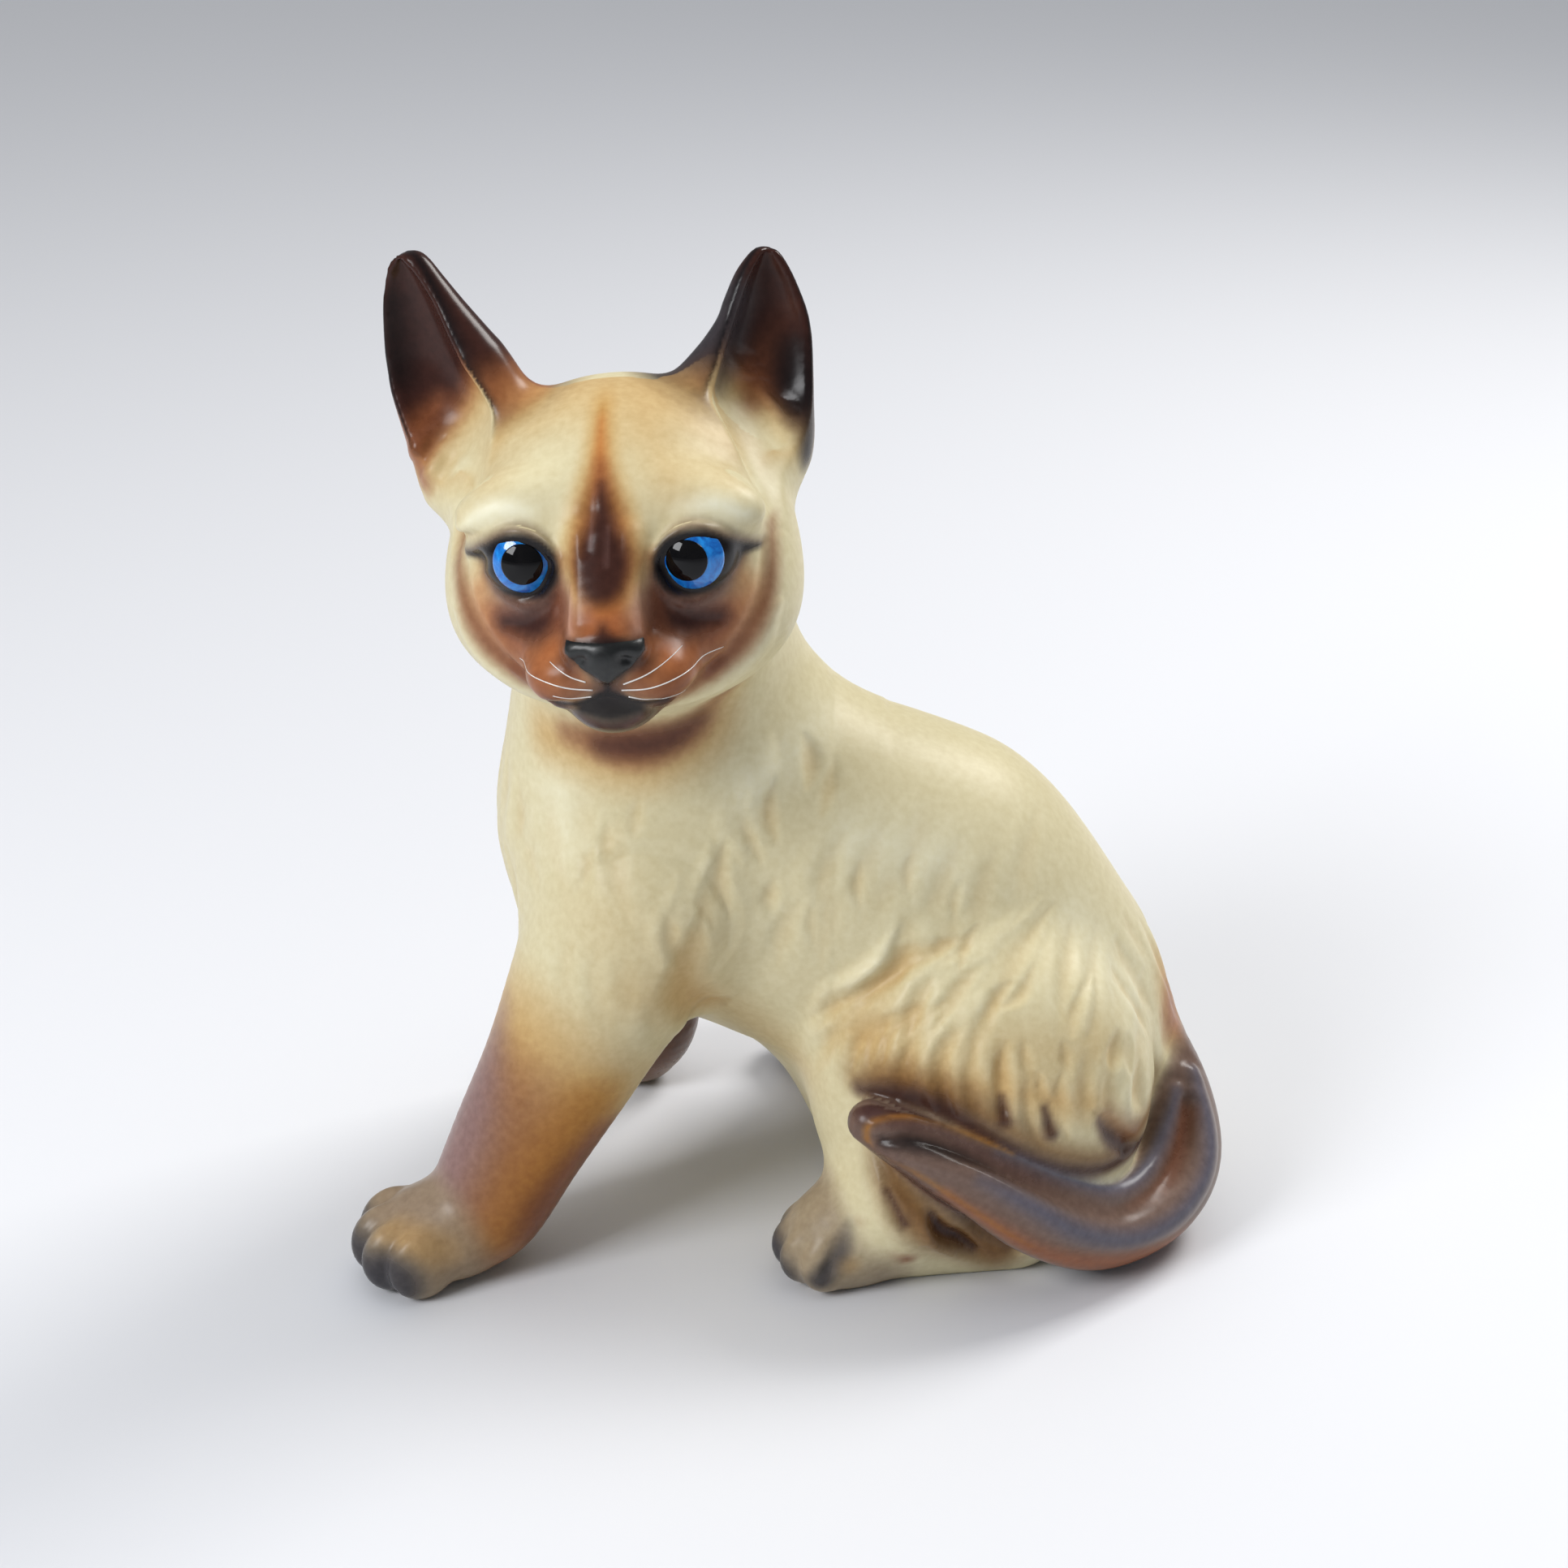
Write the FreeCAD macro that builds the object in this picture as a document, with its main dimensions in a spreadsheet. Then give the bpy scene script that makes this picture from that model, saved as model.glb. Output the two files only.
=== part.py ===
"""Sitting Siamese kitten figurine: slip-cast porcelain castings with fired enamel details.

Millimetres. The kitten sits on the plane Z = 0 with +Z up and the origin under the middle of
its bounding box. Its body points along -X and its head is turned to look along -Y, so its left
side is on -Y. The head and everything on it are laid out in the head's own frame, whose X runs
across the face towards the kitten's left, -Y out of the face and Z up through the crown.
"""
import FreeCAD, Part
import os

from FreeCAD import Placement, Rotation, Vector

doc = FreeCAD.newDocument("kitten_figurine")
sheet = doc.addObject("Spreadsheet::Sheet", "Sizes")
X_AXIS, Y_AXIS, Z_AXIS = Vector(1, 0, 0), Vector(0, 1, 0), Vector(0, 0, 1)
FAR = 300.0                             # half the side of a box that stands for a half space
BODY_SIDES = {"left": -1, "right": 1}   # the sign of Y on the body
HEAD_SIDES = {"left": 1, "right": -1}   # the sign of X in the head's frame
cell_rows = {}


# ---------------------------------------------------------------- the sheet and its helpers

def cell(alias, value):
    """Keep one driving dimension in the sheet, under a name of its own."""
    cell_rows[alias] = float(value)
    row = len(cell_rows)
    sheet.set(f"A{row}", alias)
    sheet.set(f"B{row}", str(float(value)))
    sheet.setAlias(f"B{row}", alias)
    return "Sizes." + alias


def cells(name, keys, values):
    """Keep several dimensions, each named by the feature's name with a key behind it."""
    return [cell(f"{name}_{key}", value) for key, value in zip(keys, values)]


def bind(feature, bindings):
    for property_name, expression in bindings.items():
        feature.setExpression(property_name, expression)


def place_at(feature, centre, rotation=Rotation()):
    """Bind a feature's place to three expressions and turn it."""
    feature.Placement = Placement(Vector(0, 0, 0), rotation)
    bind(feature, {f"Placement.Base.{axis}": value for axis, value in zip("xyz", centre)})


def ellipsoid(name, centre, radii, rotation=Rotation()):
    """A rounded mass of clay: its middle and its three half widths are cells."""
    feature = doc.addObject("Part::Ellipsoid", name)
    place_at(feature, cells(name, "xyz", centre), rotation)
    half_x, half_y, half_z = cells(name, ("rx", "ry", "rz"), radii)
    bind(feature, {"Radius2": half_x, "Radius3": half_y, "Radius1": half_z})
    return feature


def hollow_of(solid_name):
    """The space inside an upright ellipsoid, one wall thickness in from it."""
    feature = doc.addObject("Part::Ellipsoid", solid_name + "_hollow")
    place_at(feature, [f"Sizes.{solid_name}_{key}" for key in "xyz"])
    for radius, key in (("Radius2", "rx"), ("Radius3", "ry"), ("Radius1", "rz")):
        feature.setExpression(radius, f"Sizes.{solid_name}_{key} - Sizes.wall")
    return feature


def loft(name, sections):
    feature = doc.addObject("Part::Loft", name)
    feature.Sections = sections
    feature.Solid = True
    return feature


def limb(name, rows, first=None, last=None):
    """A round limb through rows of x, y, z, radius, its sections square to the path.

    first and last give an end section's normal where it has to lie in a given plane.
    """
    points = [Vector(*row[:3]) for row in rows]
    ends = {0: first, len(rows) - 1: last}
    sections = []
    for index, row in enumerate(rows):
        before = points[max(index - 1, 0)]
        after = points[min(index + 1, len(points) - 1)]
        normal = ends.get(index) or after - before
        label = f"{name}_{index + 1}"
        x, y, z, radius = cells(label, ("x", "y", "z", "radius"), row)
        section = doc.addObject("Part::Circle", label)
        section.setExpression("Radius", radius)
        place_at(section, (x, y, z), Rotation(Z_AXIS, normal))
        sections.append(section)
    return loft(name, sections)


def join(kind, name, base, tool):
    """A boolean of two shapes."""
    feature = doc.addObject(kind, name)
    feature.Base = base
    feature.Tool = tool
    return feature


def cut(name, base, tool):
    return join("Part::Cut", name, base, tool)


def common(name, base, tool):
    return join("Part::Common", name, base, tool)


def fuse(name, shapes):
    feature = doc.addObject("Part::MultiFuse", name)
    feature.Shapes = shapes
    return feature


def space_below(name, frame):
    """All space below the XY plane of a frame."""
    feature = doc.addObject("Part::Box", name)
    feature.Length = feature.Width = feature.Height = 2 * FAR
    feature.Placement = frame * Placement(Vector(-FAR, -FAR, -2 * FAR), Rotation())
    return feature


def port(name, start, end):
    """A small air port between two points."""
    feature = doc.addObject("Part::Cylinder", name)
    feature.setExpression("Radius", "Sizes.port_radius")
    feature.Height = (end - start).Length
    feature.Placement = Placement(start, Rotation(Z_AXIS, end - start))
    return feature


# ---------------------------------------------------------------- shared sizes and frames

WALL = 3.0
GROUND = Placement()
cell("wall", WALL)
cell("port_radius", 1.75)
cell("enamel", 0.3)
cell("middle_y", 3.0)

HEAD_MIDDLE = (-21.7, -11.0, 102.5)
HEAD_YAW, HEAD_LIFT, HEAD_ROLL = -3.0, 5.0, -2.5
NECK_DROP = 19.5
cells("head", "xyz", HEAD_MIDDLE)
cells("head", ("yaw", "lift", "roll"), (HEAD_YAW, HEAD_LIFT, HEAD_ROLL))
cell("neck_drop", NECK_DROP)


def head_frame():
    """The frame the head is laid out in: turned about Z, then lifted, then rolled."""
    turned = Rotation(Z_AXIS, HEAD_YAW) * Rotation(X_AXIS, -HEAD_LIFT) * Rotation(Y_AXIS, HEAD_ROLL)
    return Placement(Vector(*HEAD_MIDDLE), turned)


HEAD = head_frame()
NECK_PLANE = Placement(Vector(0, 0, -NECK_DROP), Rotation())    # in the head's frame
NECK_NORMAL = HEAD.Rotation.multVec(Z_AXIS)
NECK_RADIUS = 18.2


def neck_centre():
    """The middle of the seat between head and body, a point on the neck's plane."""
    near = Vector(-18.5, 0.0, 83.0)
    plane_point = HEAD.multVec(NECK_PLANE.Base)
    return near + Vector(0, 0, (plane_point - near).dot(NECK_NORMAL) / NECK_NORMAL.z)


NECK_CENTRE = neck_centre()

# The forelegs: rows of x, y, z, radius from inside the chest down to the ankle. The third row
# is the seat where the leg casting is luted to the body casting.
FORELEGS = {
    "left": [(-16.0, -4.0, 60.0, 12.0), (-26.5, -13.0, 39.0, 12.0), (-30.9, -15.4, 30.6, 10.6),
             (-37.5, -18.5, 18.5, 9.0), (-42.5, -21.0, 10.0, 8.2), (-45.5, -23.0, 6.0, 7.4)],
    "right": [(-17.0, 9.5, 60.0, 12.0), (-21.5, 20.0, 38.0, 11.0), (-22.3, 23.0, 29.0, 9.8),
              (-23.0, 26.0, 16.0, 8.6), (-23.6, 27.6, 9.0, 8.0), (-24.5, 28.0, 5.0, 7.4)],
}
SEAT_ROW = 2
# The paws: middle, half widths, and the way they turn out.
FORE_PAWS = {
    "left": ((-51.9, -25.5, 6.0), (10.2, 9.2, 6.8), 27.0),
    "right": ((-31.5, 32.0, 6.0), (10.5, 9.2, 6.8), -20.0),
}


def seat_normal(side):
    """Down the leg, square to the plane that a foreleg casting is luted on."""
    rows = FORELEGS[side]
    return Vector(*rows[SEAT_ROW + 1][:3]) - Vector(*rows[SEAT_ROW - 1][:3])


# ---------------------------------------------------------------- the body casting

# The trunk bends over from the chest to the base. Rows of x, z, lean, half depth, half width:
# each section is an ellipse square to the spine, which leans so many degrees down from level.
TRUNK = [(-19, 56, 4, 25.5, 20.5), (-4, 54, 12, 25.5, 20.5), (9, 48.5, 28, 25.5, 21.5),
         (20, 38.5, 50, 26.0, 23), (26, 22, 75, 26.5, 24.5), (27, -1, 90, 26, 24.5)]
VENT = Vector(27, 3, 0)
LEVEL = 90.0


def trunk_cells():
    for index, (x, z, lean, deep, wide) in enumerate(TRUNK):
        cells(f"trunk_{index + 1}", ("x", "z", "deep", "wide"), (x, z, deep, wide))


def trunk(name, thinner):
    """The trunk, or the hollow inside it, which is thinner by an expression."""
    sections = []
    for index, (x, z, lean, deep, wide) in enumerate(TRUNK):
        label = f"Sizes.trunk_{index + 1}"
        section = doc.addObject("Part::Ellipse", f"{name}_{index + 1}")
        place_at(section, (label + "_x", "Sizes.middle_y", label + "_z"), Rotation(Y_AXIS, lean - LEVEL))
        bind(section, {"MajorRadius": f"{label}_deep - {thinner}",
                       "MinorRadius": f"{label}_wide - {thinner}"})
        sections.append(section)
    return loft(name, sections)


def chest():
    return ellipsoid("chest", (-18.5, 3, 56), (21.5, 20.8, 26))


def hind_leg(side):
    """A folded hind leg: the haunch, the sole under it and the paw in front."""
    sign = BODY_SIDES[side]
    return [ellipsoid(side + "_haunch", (26, 3 + 19 * sign, 24), (23.5, 14.5, 24.5)),
            ellipsoid(side + "_sole", (20, 3 + 24 * sign, 6), (17, 8.5, 8)),
            ellipsoid(side + "_hind_paw", (5, 3 + 29 * sign, 5.6), (9, 7.4, 7.2), Rotation(Z_AXIS, 18 * sign))]


def tail():
    """The tail, which comes round the rump and lies up against the left haunch."""
    rows = [(45, 4, 28, 5), (51.7, -1.5, 20, 6.6), (54.3, -9.5, 11.5, 7), (50.6, -16.5, 7.4, 6.8),
            (42, -23.5, 7.6, 6.6), (33.5, -28.8, 12.8, 6), (24.5, -30.8, 19.5, 5),
            (15.5, -30.5, 25, 4), (10, -29, 27.5, 3)]
    tip_radius = rows[-1][3]
    return [limb("tail", rows), ellipsoid("tail_tip", rows[-1][:3], (tip_radius, tip_radius, tip_radius))]


def neck():
    """The neck up to its seat, and the nape that slopes from it to the withers."""
    rows = [(-16.5, 4.5, 60, 20), (-18, 2.5, 74, 19.2), tuple(NECK_CENTRE) + (NECK_RADIUS,)]
    return [limb("neck", rows, last=NECK_NORMAL), ellipsoid("nape", (-7.5, 4, 70), (14, 13, 14.5))]


def shoulder(side):
    """The stump of a foreleg, which ends in the flat seat that the leg is luted on."""
    return limb(side + "_shoulder", FORELEGS[side][:SEAT_ROW + 1], last=seat_normal(side))


def neck_bore():
    """The open way up through the neck."""
    deep, proud = 30, 4
    feature = doc.addObject("Part::Cylinder", "neck_bore")
    feature.setExpression("Radius", "Sizes.neck_3_radius - Sizes.wall")
    feature.Height = deep + proud
    feature.Placement = Placement(NECK_CENTRE - NECK_NORMAL * deep, Rotation(Z_AXIS, NECK_NORMAL))
    return feature


def body_hollow():
    """The drained inside of the casting, one wall in, with a floor left at the base."""
    spaces = [trunk("trunk_hollow", "Sizes.wall"), hollow_of("chest"), neck_bore()]
    spaces += [hollow_of(side + "_haunch") for side in BODY_SIDES]
    floor = space_below("body_floor", Placement(Vector(0, 0, WALL), Rotation()))
    return cut("body_hollow", fuse("body_inside", spaces), floor)


def body_ports():
    """The vent in the base and the air port into each foreleg."""
    through = Z_AXIS * (2 * WALL)
    ports = [port("base_vent", VENT - through, VENT + through)]
    for side in BODY_SIDES:
        inner, seat = Vector(*FORELEGS[side][0][:3]), Vector(*FORELEGS[side][SEAT_ROW][:3])
        ports.append(port(side + "_leg_port", inner, seat + (seat - inner) * 0.1))
    return ports


def body_casting():
    trunk_cells()
    forms = [trunk("trunk", "0"), chest()] + neck() + tail()
    for side in BODY_SIDES:
        forms += hind_leg(side) + [shoulder(side)]
    removed = [body_hollow(), space_below("below_body", GROUND)] + body_ports()
    return cut("body_casting", fuse("body_outside", forms), fuse("body_removed", removed))


# ---------------------------------------------------------------- the foreleg castings

def foreleg_casting(side):
    """A foreleg from its seat down to a flat sole, drained from the seat."""
    rows = FORELEGS[side][SEAT_ROW:]
    leg = limb(side + "_foreleg", rows, first=seat_normal(side))
    centre, radii, angle = FORE_PAWS[side]
    paw = ellipsoid(side + "_fore_paw", centre, radii, Rotation(Z_AXIS, angle))
    heel = ellipsoid(side + "_heel", rows[-1][:3], (7.6, 7.6, 6.5))
    inner_rows = [row[:3] + (row[3] - WALL,) for row in rows[:3]]
    inside = limb(side + "_foreleg_hollow", inner_rows, first=seat_normal(side))
    removed = [inside, space_below(side + "_foreleg_below", GROUND)]
    return cut(side + "_foreleg_casting", fuse(side + "_foreleg_outside", [leg, paw, heel]),
               fuse(side + "_foreleg_removed", removed))


# ---------------------------------------------------------------- the head casting

EYE_ACROSS, EYE_OUT, EYE_UP, EYE_OUTWARD = 10.2, -16.3, 4.0, 8.0
EYE_RADIUS, IRIS_RADIUS, PUPIL_RADIUS, PUPIL_RISE = 5.5, 3.9, 2.5, 0.6
cells("eye", ("across", "out", "up", "radius"), (EYE_ACROSS, EYE_OUT, EYE_UP, EYE_RADIUS))
cell("iris_radius", IRIS_RADIUS)
cell("pupil_radius", PUPIL_RADIUS)

# Each ear: its base and tip in the figurine's frame, the way its opening looks, its half width.
EARS = {
    "left": (Vector(-5.5, -5, 115), Vector(-3.7, 0, 139.0), Vector(0.40, -0.90, 0), 8.4),
    "right": (Vector(-40.0, -7, 114), Vector(-49.6, -4, 139.4), Vector(-0.45, -0.88, 0), 8.8),
}
# An ear's outside and the cup in its front: rows of height as a share of the ear's, depth,
# width as a share of the ear's half width, how much narrower than that, and half depth.
EAR_OUTSIDE = [(-0.4, 0, 1, 0, 7.0), (0, 0, 1, 0, 6.5), (0.3, 0.3, 1, 0, 5.5), (0.55, 0.6, 0.82, 0, 4.5),
               (0.78, 1.0, 0.55, 0, 3.2), (0.92, 1.2, 0.33, 0, 2.3), (1, 1.2, 0.14, 0, 0.9)]
EAR_CUP = [(0.02, -7.0, 1, 3.4, 4.2), (0.2, -5.6, 1, 2.0, 6.2), (0.42, -4.6, 0.9, 1.2, 5.6),
           (0.66, -3.2, 0.7, 1.2, 4.4), (0.86, -1.8, 0.45, 1.0, 2.4)]


def ear_form(name, side, rows):
    """A loft up an ear, in the head's frame, through ellipses square to it."""
    base, tip, looks, half_width = EARS[side]
    tall = (tip - base).Length
    up = (tip - base).normalize()
    out = (looks - up * looks.dot(up)).normalize()
    ear = HEAD.inverse() * Placement(base, Rotation(up.cross(out), out * -1, up, "ZYX"))
    sections = []
    for index, (height, depth, share, less, half_depth) in enumerate(rows):
        label = f"{name}_{index + 1}"
        wide, deep = cells(label, ("wide", "deep"), (share * half_width - less, half_depth))
        section = doc.addObject("Part::Ellipse", label)
        bind(section, {"MajorRadius": wide, "MinorRadius": deep})
        section.Placement = ear * Placement(Vector(0, depth, height * tall), Rotation())
        sections.append(section)
    return loft(name, sections)


def face_forms():
    """Skull, jaw, face, muzzle, bridge, nose, chin, cheeks and whisker pads."""
    forms = [ellipsoid("skull", (0, 1, 4), (21, 20, 17.5)),
             ellipsoid("jaw", (0, -7, -8), (14.2, 14, 10.6)),
             ellipsoid("face", (0.1, -11, 2), (14, 9.5, 12)),
             ellipsoid("muzzle", (0, -19, -9), (9.6, 8.6, 6.9)),
             ellipsoid("bridge", (0, -20, 0.5), (4.9, 7.5, 8.5), Rotation(X_AXIS, 35)),
             ellipsoid("nose_leather", (0, -27, -6.2), (4.6, 3.2, 3.1)),
             ellipsoid("chin", (0, -19, -14.2), (6.4, 6.1, 4.3))]
    for side, sign in HEAD_SIDES.items():
        forms.append(ellipsoid(side + "_cheek", (10.1 * sign, -4.5, -4), (12.6, 14, 12.4)))
        forms.append(ellipsoid(side + "_pad", (4.6 * sign, -22.5, -10), (5.5, 5.7, 4.5)))
    return forms


def head_neck_forms():
    """The neck under the skull, on the same seat as the body's, and the scruff behind it."""
    seat = HEAD.inverse().multVec(NECK_CENTRE)
    rows = [tuple(seat) + (NECK_RADIUS,), (seat.x - 0.8, seat.y - 3.0, seat.z + 11, 14.5)]
    scruff = ellipsoid("scruff", (seat.x - 0.5, seat.y - 3.0, seat.z + 4), (18.3, 16.9, 16))
    return [limb("head_neck", rows, first=Z_AXIS, last=Z_AXIS), scruff]


def head_hollow():
    """The drained inside of the head, open at the neck."""
    seat = HEAD.inverse().multVec(NECK_CENTRE)
    bore = doc.addObject("Part::Cylinder", "head_bore")
    bore.setExpression("Radius", "Sizes.scruff_rx - Sizes.wall")
    bore.Height = 7
    bore.Placement = Placement(seat + Vector(-0.5, -1.2, -1), Rotation())
    return fuse("head_inside", [hollow_of("skull"), hollow_of("jaw"), hollow_of("scruff"), bore])


def eye_frame(side):
    """The eyeball's middle, with Z out along its gaze."""
    sign = HEAD_SIDES[side]
    gaze = Rotation(Z_AXIS, sign * EYE_OUTWARD).multVec(Y_AXIS * -1)
    return Placement(Vector(sign * EYE_ACROSS, EYE_OUT, EYE_UP), Rotation(Z_AXIS, gaze))


def eye_ball(name, side, coats):
    """A ball about the eye's middle: the eyeball with so many coats of enamel on it."""
    feature = doc.addObject("Part::Sphere", name)
    feature.setExpression("Radius", f"Sizes.eye_radius + {coats} * Sizes.enamel")
    feature.Placement = eye_frame(side)
    return feature


def head_outside():
    """The head's whole outside, with the neck, eyeballs and cupped ears."""
    solids = face_forms() + head_neck_forms()
    solids += [eye_ball(side + "_eyeball", side, 0) for side in HEAD_SIDES]
    solids += [ear_form(side + "_ear", side, EAR_OUTSIDE) for side in EARS]
    removed = [ear_form(side + "_ear_cup", side, EAR_CUP) for side in EARS]
    removed.append(space_below("below_head", NECK_PLANE))
    return cut("head_outside", fuse("head_forms", solids), fuse("head_cups", removed))


# ---------------------------------------------------------------- the enamel on the head

def eye_window(name, side, radius, rise=0.0):
    """A round window in front of an eye."""
    feature = doc.addObject("Part::Cylinder", name)
    feature.setExpression("Radius", radius)
    feature.Height = 2 * EYE_RADIUS
    feature.Placement = eye_frame(side) * Placement(Vector(0, -rise, 0), Rotation())
    return feature


def eye_enamels(side, head):
    """The blue iris, and the black pupil that sits in it, a little above its middle."""
    window = eye_window(side + "_iris_window", side, "Sizes.iris_radius")
    coat = common(side + "_iris_coat", eye_ball(side + "_iris_ball", side, 1), window)
    middle = eye_window(side + "_pupil_window", side, "Sizes.pupil_radius", PUPIL_RISE)
    iris = cut(side + "_eye_enamel", cut(side + "_iris", coat, head), middle)
    bead = common(side + "_pupil_coat", eye_ball(side + "_pupil_ball", side, 1.5), middle)
    return [iris, cut(side + "_pupil_enamel", bead, head)]


def nose_enamel(head):
    """The glazed skin over the front of the nose leather."""
    ball = ellipsoid("nose_coat", (0, -27.1, -6.2), (4.8, 3.5, 3.3))
    window = doc.addObject("Part::Box", "nose_window")
    window.Length, window.Width, window.Height = 12, 6, 8
    window.Placement = Placement(Vector(-6, -32.6, -10.2), Rotation())
    return cut("nose_enamel", common("nose_front", ball, window), head)


def whiskers(side, head):
    """Three fine raised lines that run back over the whisker pad."""
    sign = HEAD_SIDES[side]
    reach, deep, fine = 5.6, 7, 0.35
    coat = ellipsoid(side + "_pad_coat", (4.6 * sign, -22.6, -10), (5.8, 6.0, 4.8))
    blades = []
    for index, slope in enumerate((24, 8, -6)):
        blade = doc.addObject("Part::Box", f"{side}_whisker_blade_{index + 1}")
        blade.Length, blade.Width, blade.Height = reach, deep, fine
        lean = Rotation(Y_AXIS, -slope)
        if sign < 0:
            lean = Rotation(Z_AXIS, 180) * lean
        start = Vector(3.0 * sign, -26.5 - deep * sign / 2, -9.3 - 1.1 * index)
        blade.Placement = Placement(start, lean)
        blades.append(blade)
    strands = common(side + "_whisker_strands", coat, fuse(side + "_whisker_blades", blades))
    return cut(side + "_whiskers", strands, head)


# ---------------------------------------------------------------- the assembly

def build_all():
    """Every sub-part, with the Placement that puts it in the figurine."""
    outside = head_outside()
    on_head = [cut("head_casting", outside, head_hollow()), nose_enamel(outside)]
    for side in HEAD_SIDES:
        on_head += eye_enamels(side, outside) + [whiskers(side, outside)]
    for part in on_head:
        part.Placement = HEAD
    return [body_casting()] + [foreleg_casting(side) for side in BODY_SIDES] + on_head


parts = build_all()
doc.recompute()

for feature in doc.Objects:
    if "Invalid" in feature.State or "Error" in feature.State:
        raise SystemExit(f"{feature.Name} failed: {feature.State}")
for part in parts:
    part.Label = part.Name
    if part.Shape.isNull() or not part.Shape.isValid():
        raise SystemExit(f"{part.Label} has no valid shape")

os.makedirs("parts", exist_ok=True)
for part in parts:
    part.Shape.exportStep(f"parts/{part.Label}.step")
    box = part.Shape.optimalBoundingBox()
    print(f"{part.Label}: {len(part.Shape.Solids)} solid(s), {part.Shape.Volume / 1000:.3f} cm3, "
          f"x {box.XMin:.1f} to {box.XMax:.1f}, y {box.YMin:.1f} to {box.YMax:.1f}, "
          f"z {box.ZMin:.1f} to {box.ZMax:.1f}")
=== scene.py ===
"""The looks of the sitting Siamese kitten: sculpted porcelain, airbrushed points, glazed eyes.

Everything is sculpted in millimetres in the figurine's own frame (+Z up, the body points along
-X, the turned head looks along -Y) as one clay volume, meshed once for the body and finer for
the head, and cut at the seats where the CAD's castings meet. Face features are given in the
head's frame: X across the face, -Y out of it, Z up.
"""
import math

import bmesh
import bpy
import numpy as np
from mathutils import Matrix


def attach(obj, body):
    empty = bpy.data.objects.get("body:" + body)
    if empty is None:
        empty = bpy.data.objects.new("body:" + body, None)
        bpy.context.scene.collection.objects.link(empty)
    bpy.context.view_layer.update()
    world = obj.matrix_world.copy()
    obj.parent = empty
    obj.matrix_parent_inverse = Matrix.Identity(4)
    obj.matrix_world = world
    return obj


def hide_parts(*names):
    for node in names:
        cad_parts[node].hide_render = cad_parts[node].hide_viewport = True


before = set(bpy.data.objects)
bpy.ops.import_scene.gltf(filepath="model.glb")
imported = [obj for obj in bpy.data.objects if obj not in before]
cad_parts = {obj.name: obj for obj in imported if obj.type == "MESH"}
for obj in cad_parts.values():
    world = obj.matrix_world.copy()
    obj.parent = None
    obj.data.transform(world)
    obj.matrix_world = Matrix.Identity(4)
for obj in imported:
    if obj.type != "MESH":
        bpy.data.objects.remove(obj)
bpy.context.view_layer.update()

import openvdb
from mathutils import Vector
from mathutils.bvhtree import BVHTree

MM = 0.001
BODY_PITCH = 0.52     # the clay's grid, mm
HEAD_PITCH = 0.42
BODY_BLOCK = (-66, -46, -3), (68, 46, 96)
HEAD_BLOCK = (-58, -46, 76), (8, 24, 143)
BOTH = (-1, 1)
X, Y, Z = np.eye(3)


# ------------------------ places and turns

def unit(v):
    v = np.asarray(v, float)
    return v / np.linalg.norm(v)


def about(axis, degrees):
    """The matrix that turns about an axis."""
    x, y, z = unit(axis)
    c, s = math.cos(math.radians(degrees)), math.sin(math.radians(degrees))
    cross = np.array([[0, -z, y], [z, 0, -x], [-y, x, 0]])
    return np.eye(3) * c + s * cross + (1 - c) * np.outer((x, y, z), (x, y, z))


class Place:
    """A point and three axes that shapes are laid out in."""

    def __init__(self, at=(0, 0, 0), axes=np.eye(3)):
        self.at = np.asarray(at, float)
        self.axes = np.asarray(axes, float)

    def out(self, points):
        """From this place's frame to the figurine's."""
        return self.at + np.asarray(points, float) @ self.axes.T

    def into(self, points):
        return (np.asarray(points, float) - self.at) @ self.axes


def looking(at, up, front):
    """A place whose z runs up and whose -y looks to the front."""
    z = unit(up)
    f = np.asarray(front, float)
    f = unit(f - (f @ z) * z)
    return Place(at, np.stack([np.cross(-f, z), -f, z], 1))


WORLD = Place()
HEAD = Place((-21.7, -11, 102.5), about(Z, -3.0) @ about(X, -5.0) @ about(Y, -2.5))
NECK_DROP = 19.5
MIDDLE = 3.0                            # the Y of the body's middle plane


# ------------------------ clay

def smooth_min(a, b, blend):
    """The lesser of two distances, rounded where they cross."""
    if blend <= 0:
        return np.minimum(a, b)
    near = np.maximum(blend - np.abs(a - b), 0) / blend
    return np.minimum(a, b) - near * near * blend * 0.25


def curve(points, steps=6):
    """A smooth curve through rows of numbers, by Catmull and Rom's formula."""
    rows = np.asarray(points, float)
    rows = np.vstack([2 * rows[0] - rows[1], rows, 2 * rows[-1] - rows[-2]])
    t = np.linspace(0, 1, steps, endpoint=False)[:, None]
    spans = []
    for a, b, c, d in zip(rows, rows[1:], rows[2:], rows[3:]):
        spans.append(0.5 * (2 * b + (c - a) * t + (2 * a - 5 * b + 4 * c - d) * t ** 2
                            + (3 * b - a - 3 * c + d) * t ** 3))
    return np.vstack(spans + [rows[-2]])


def blob(at, radii, turn=np.eye(3), place=WORLD):
    """An ellipsoid: its bounds and its distance."""
    centre, axes = place.out(at), place.axes @ turn
    r = np.asarray(radii, float)
    half = np.sqrt(((axes * r) ** 2).sum(1))

    def distance(p):
        q = (p - centre) @ axes
        near = np.sqrt(((q / r) ** 2).sum(-1))
        slope = np.sqrt(((q / (r * r)) ** 2).sum(-1))
        return near * (near - 1) / np.maximum(slope, 1e-9)
    return centre - half, centre + half, distance


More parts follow.
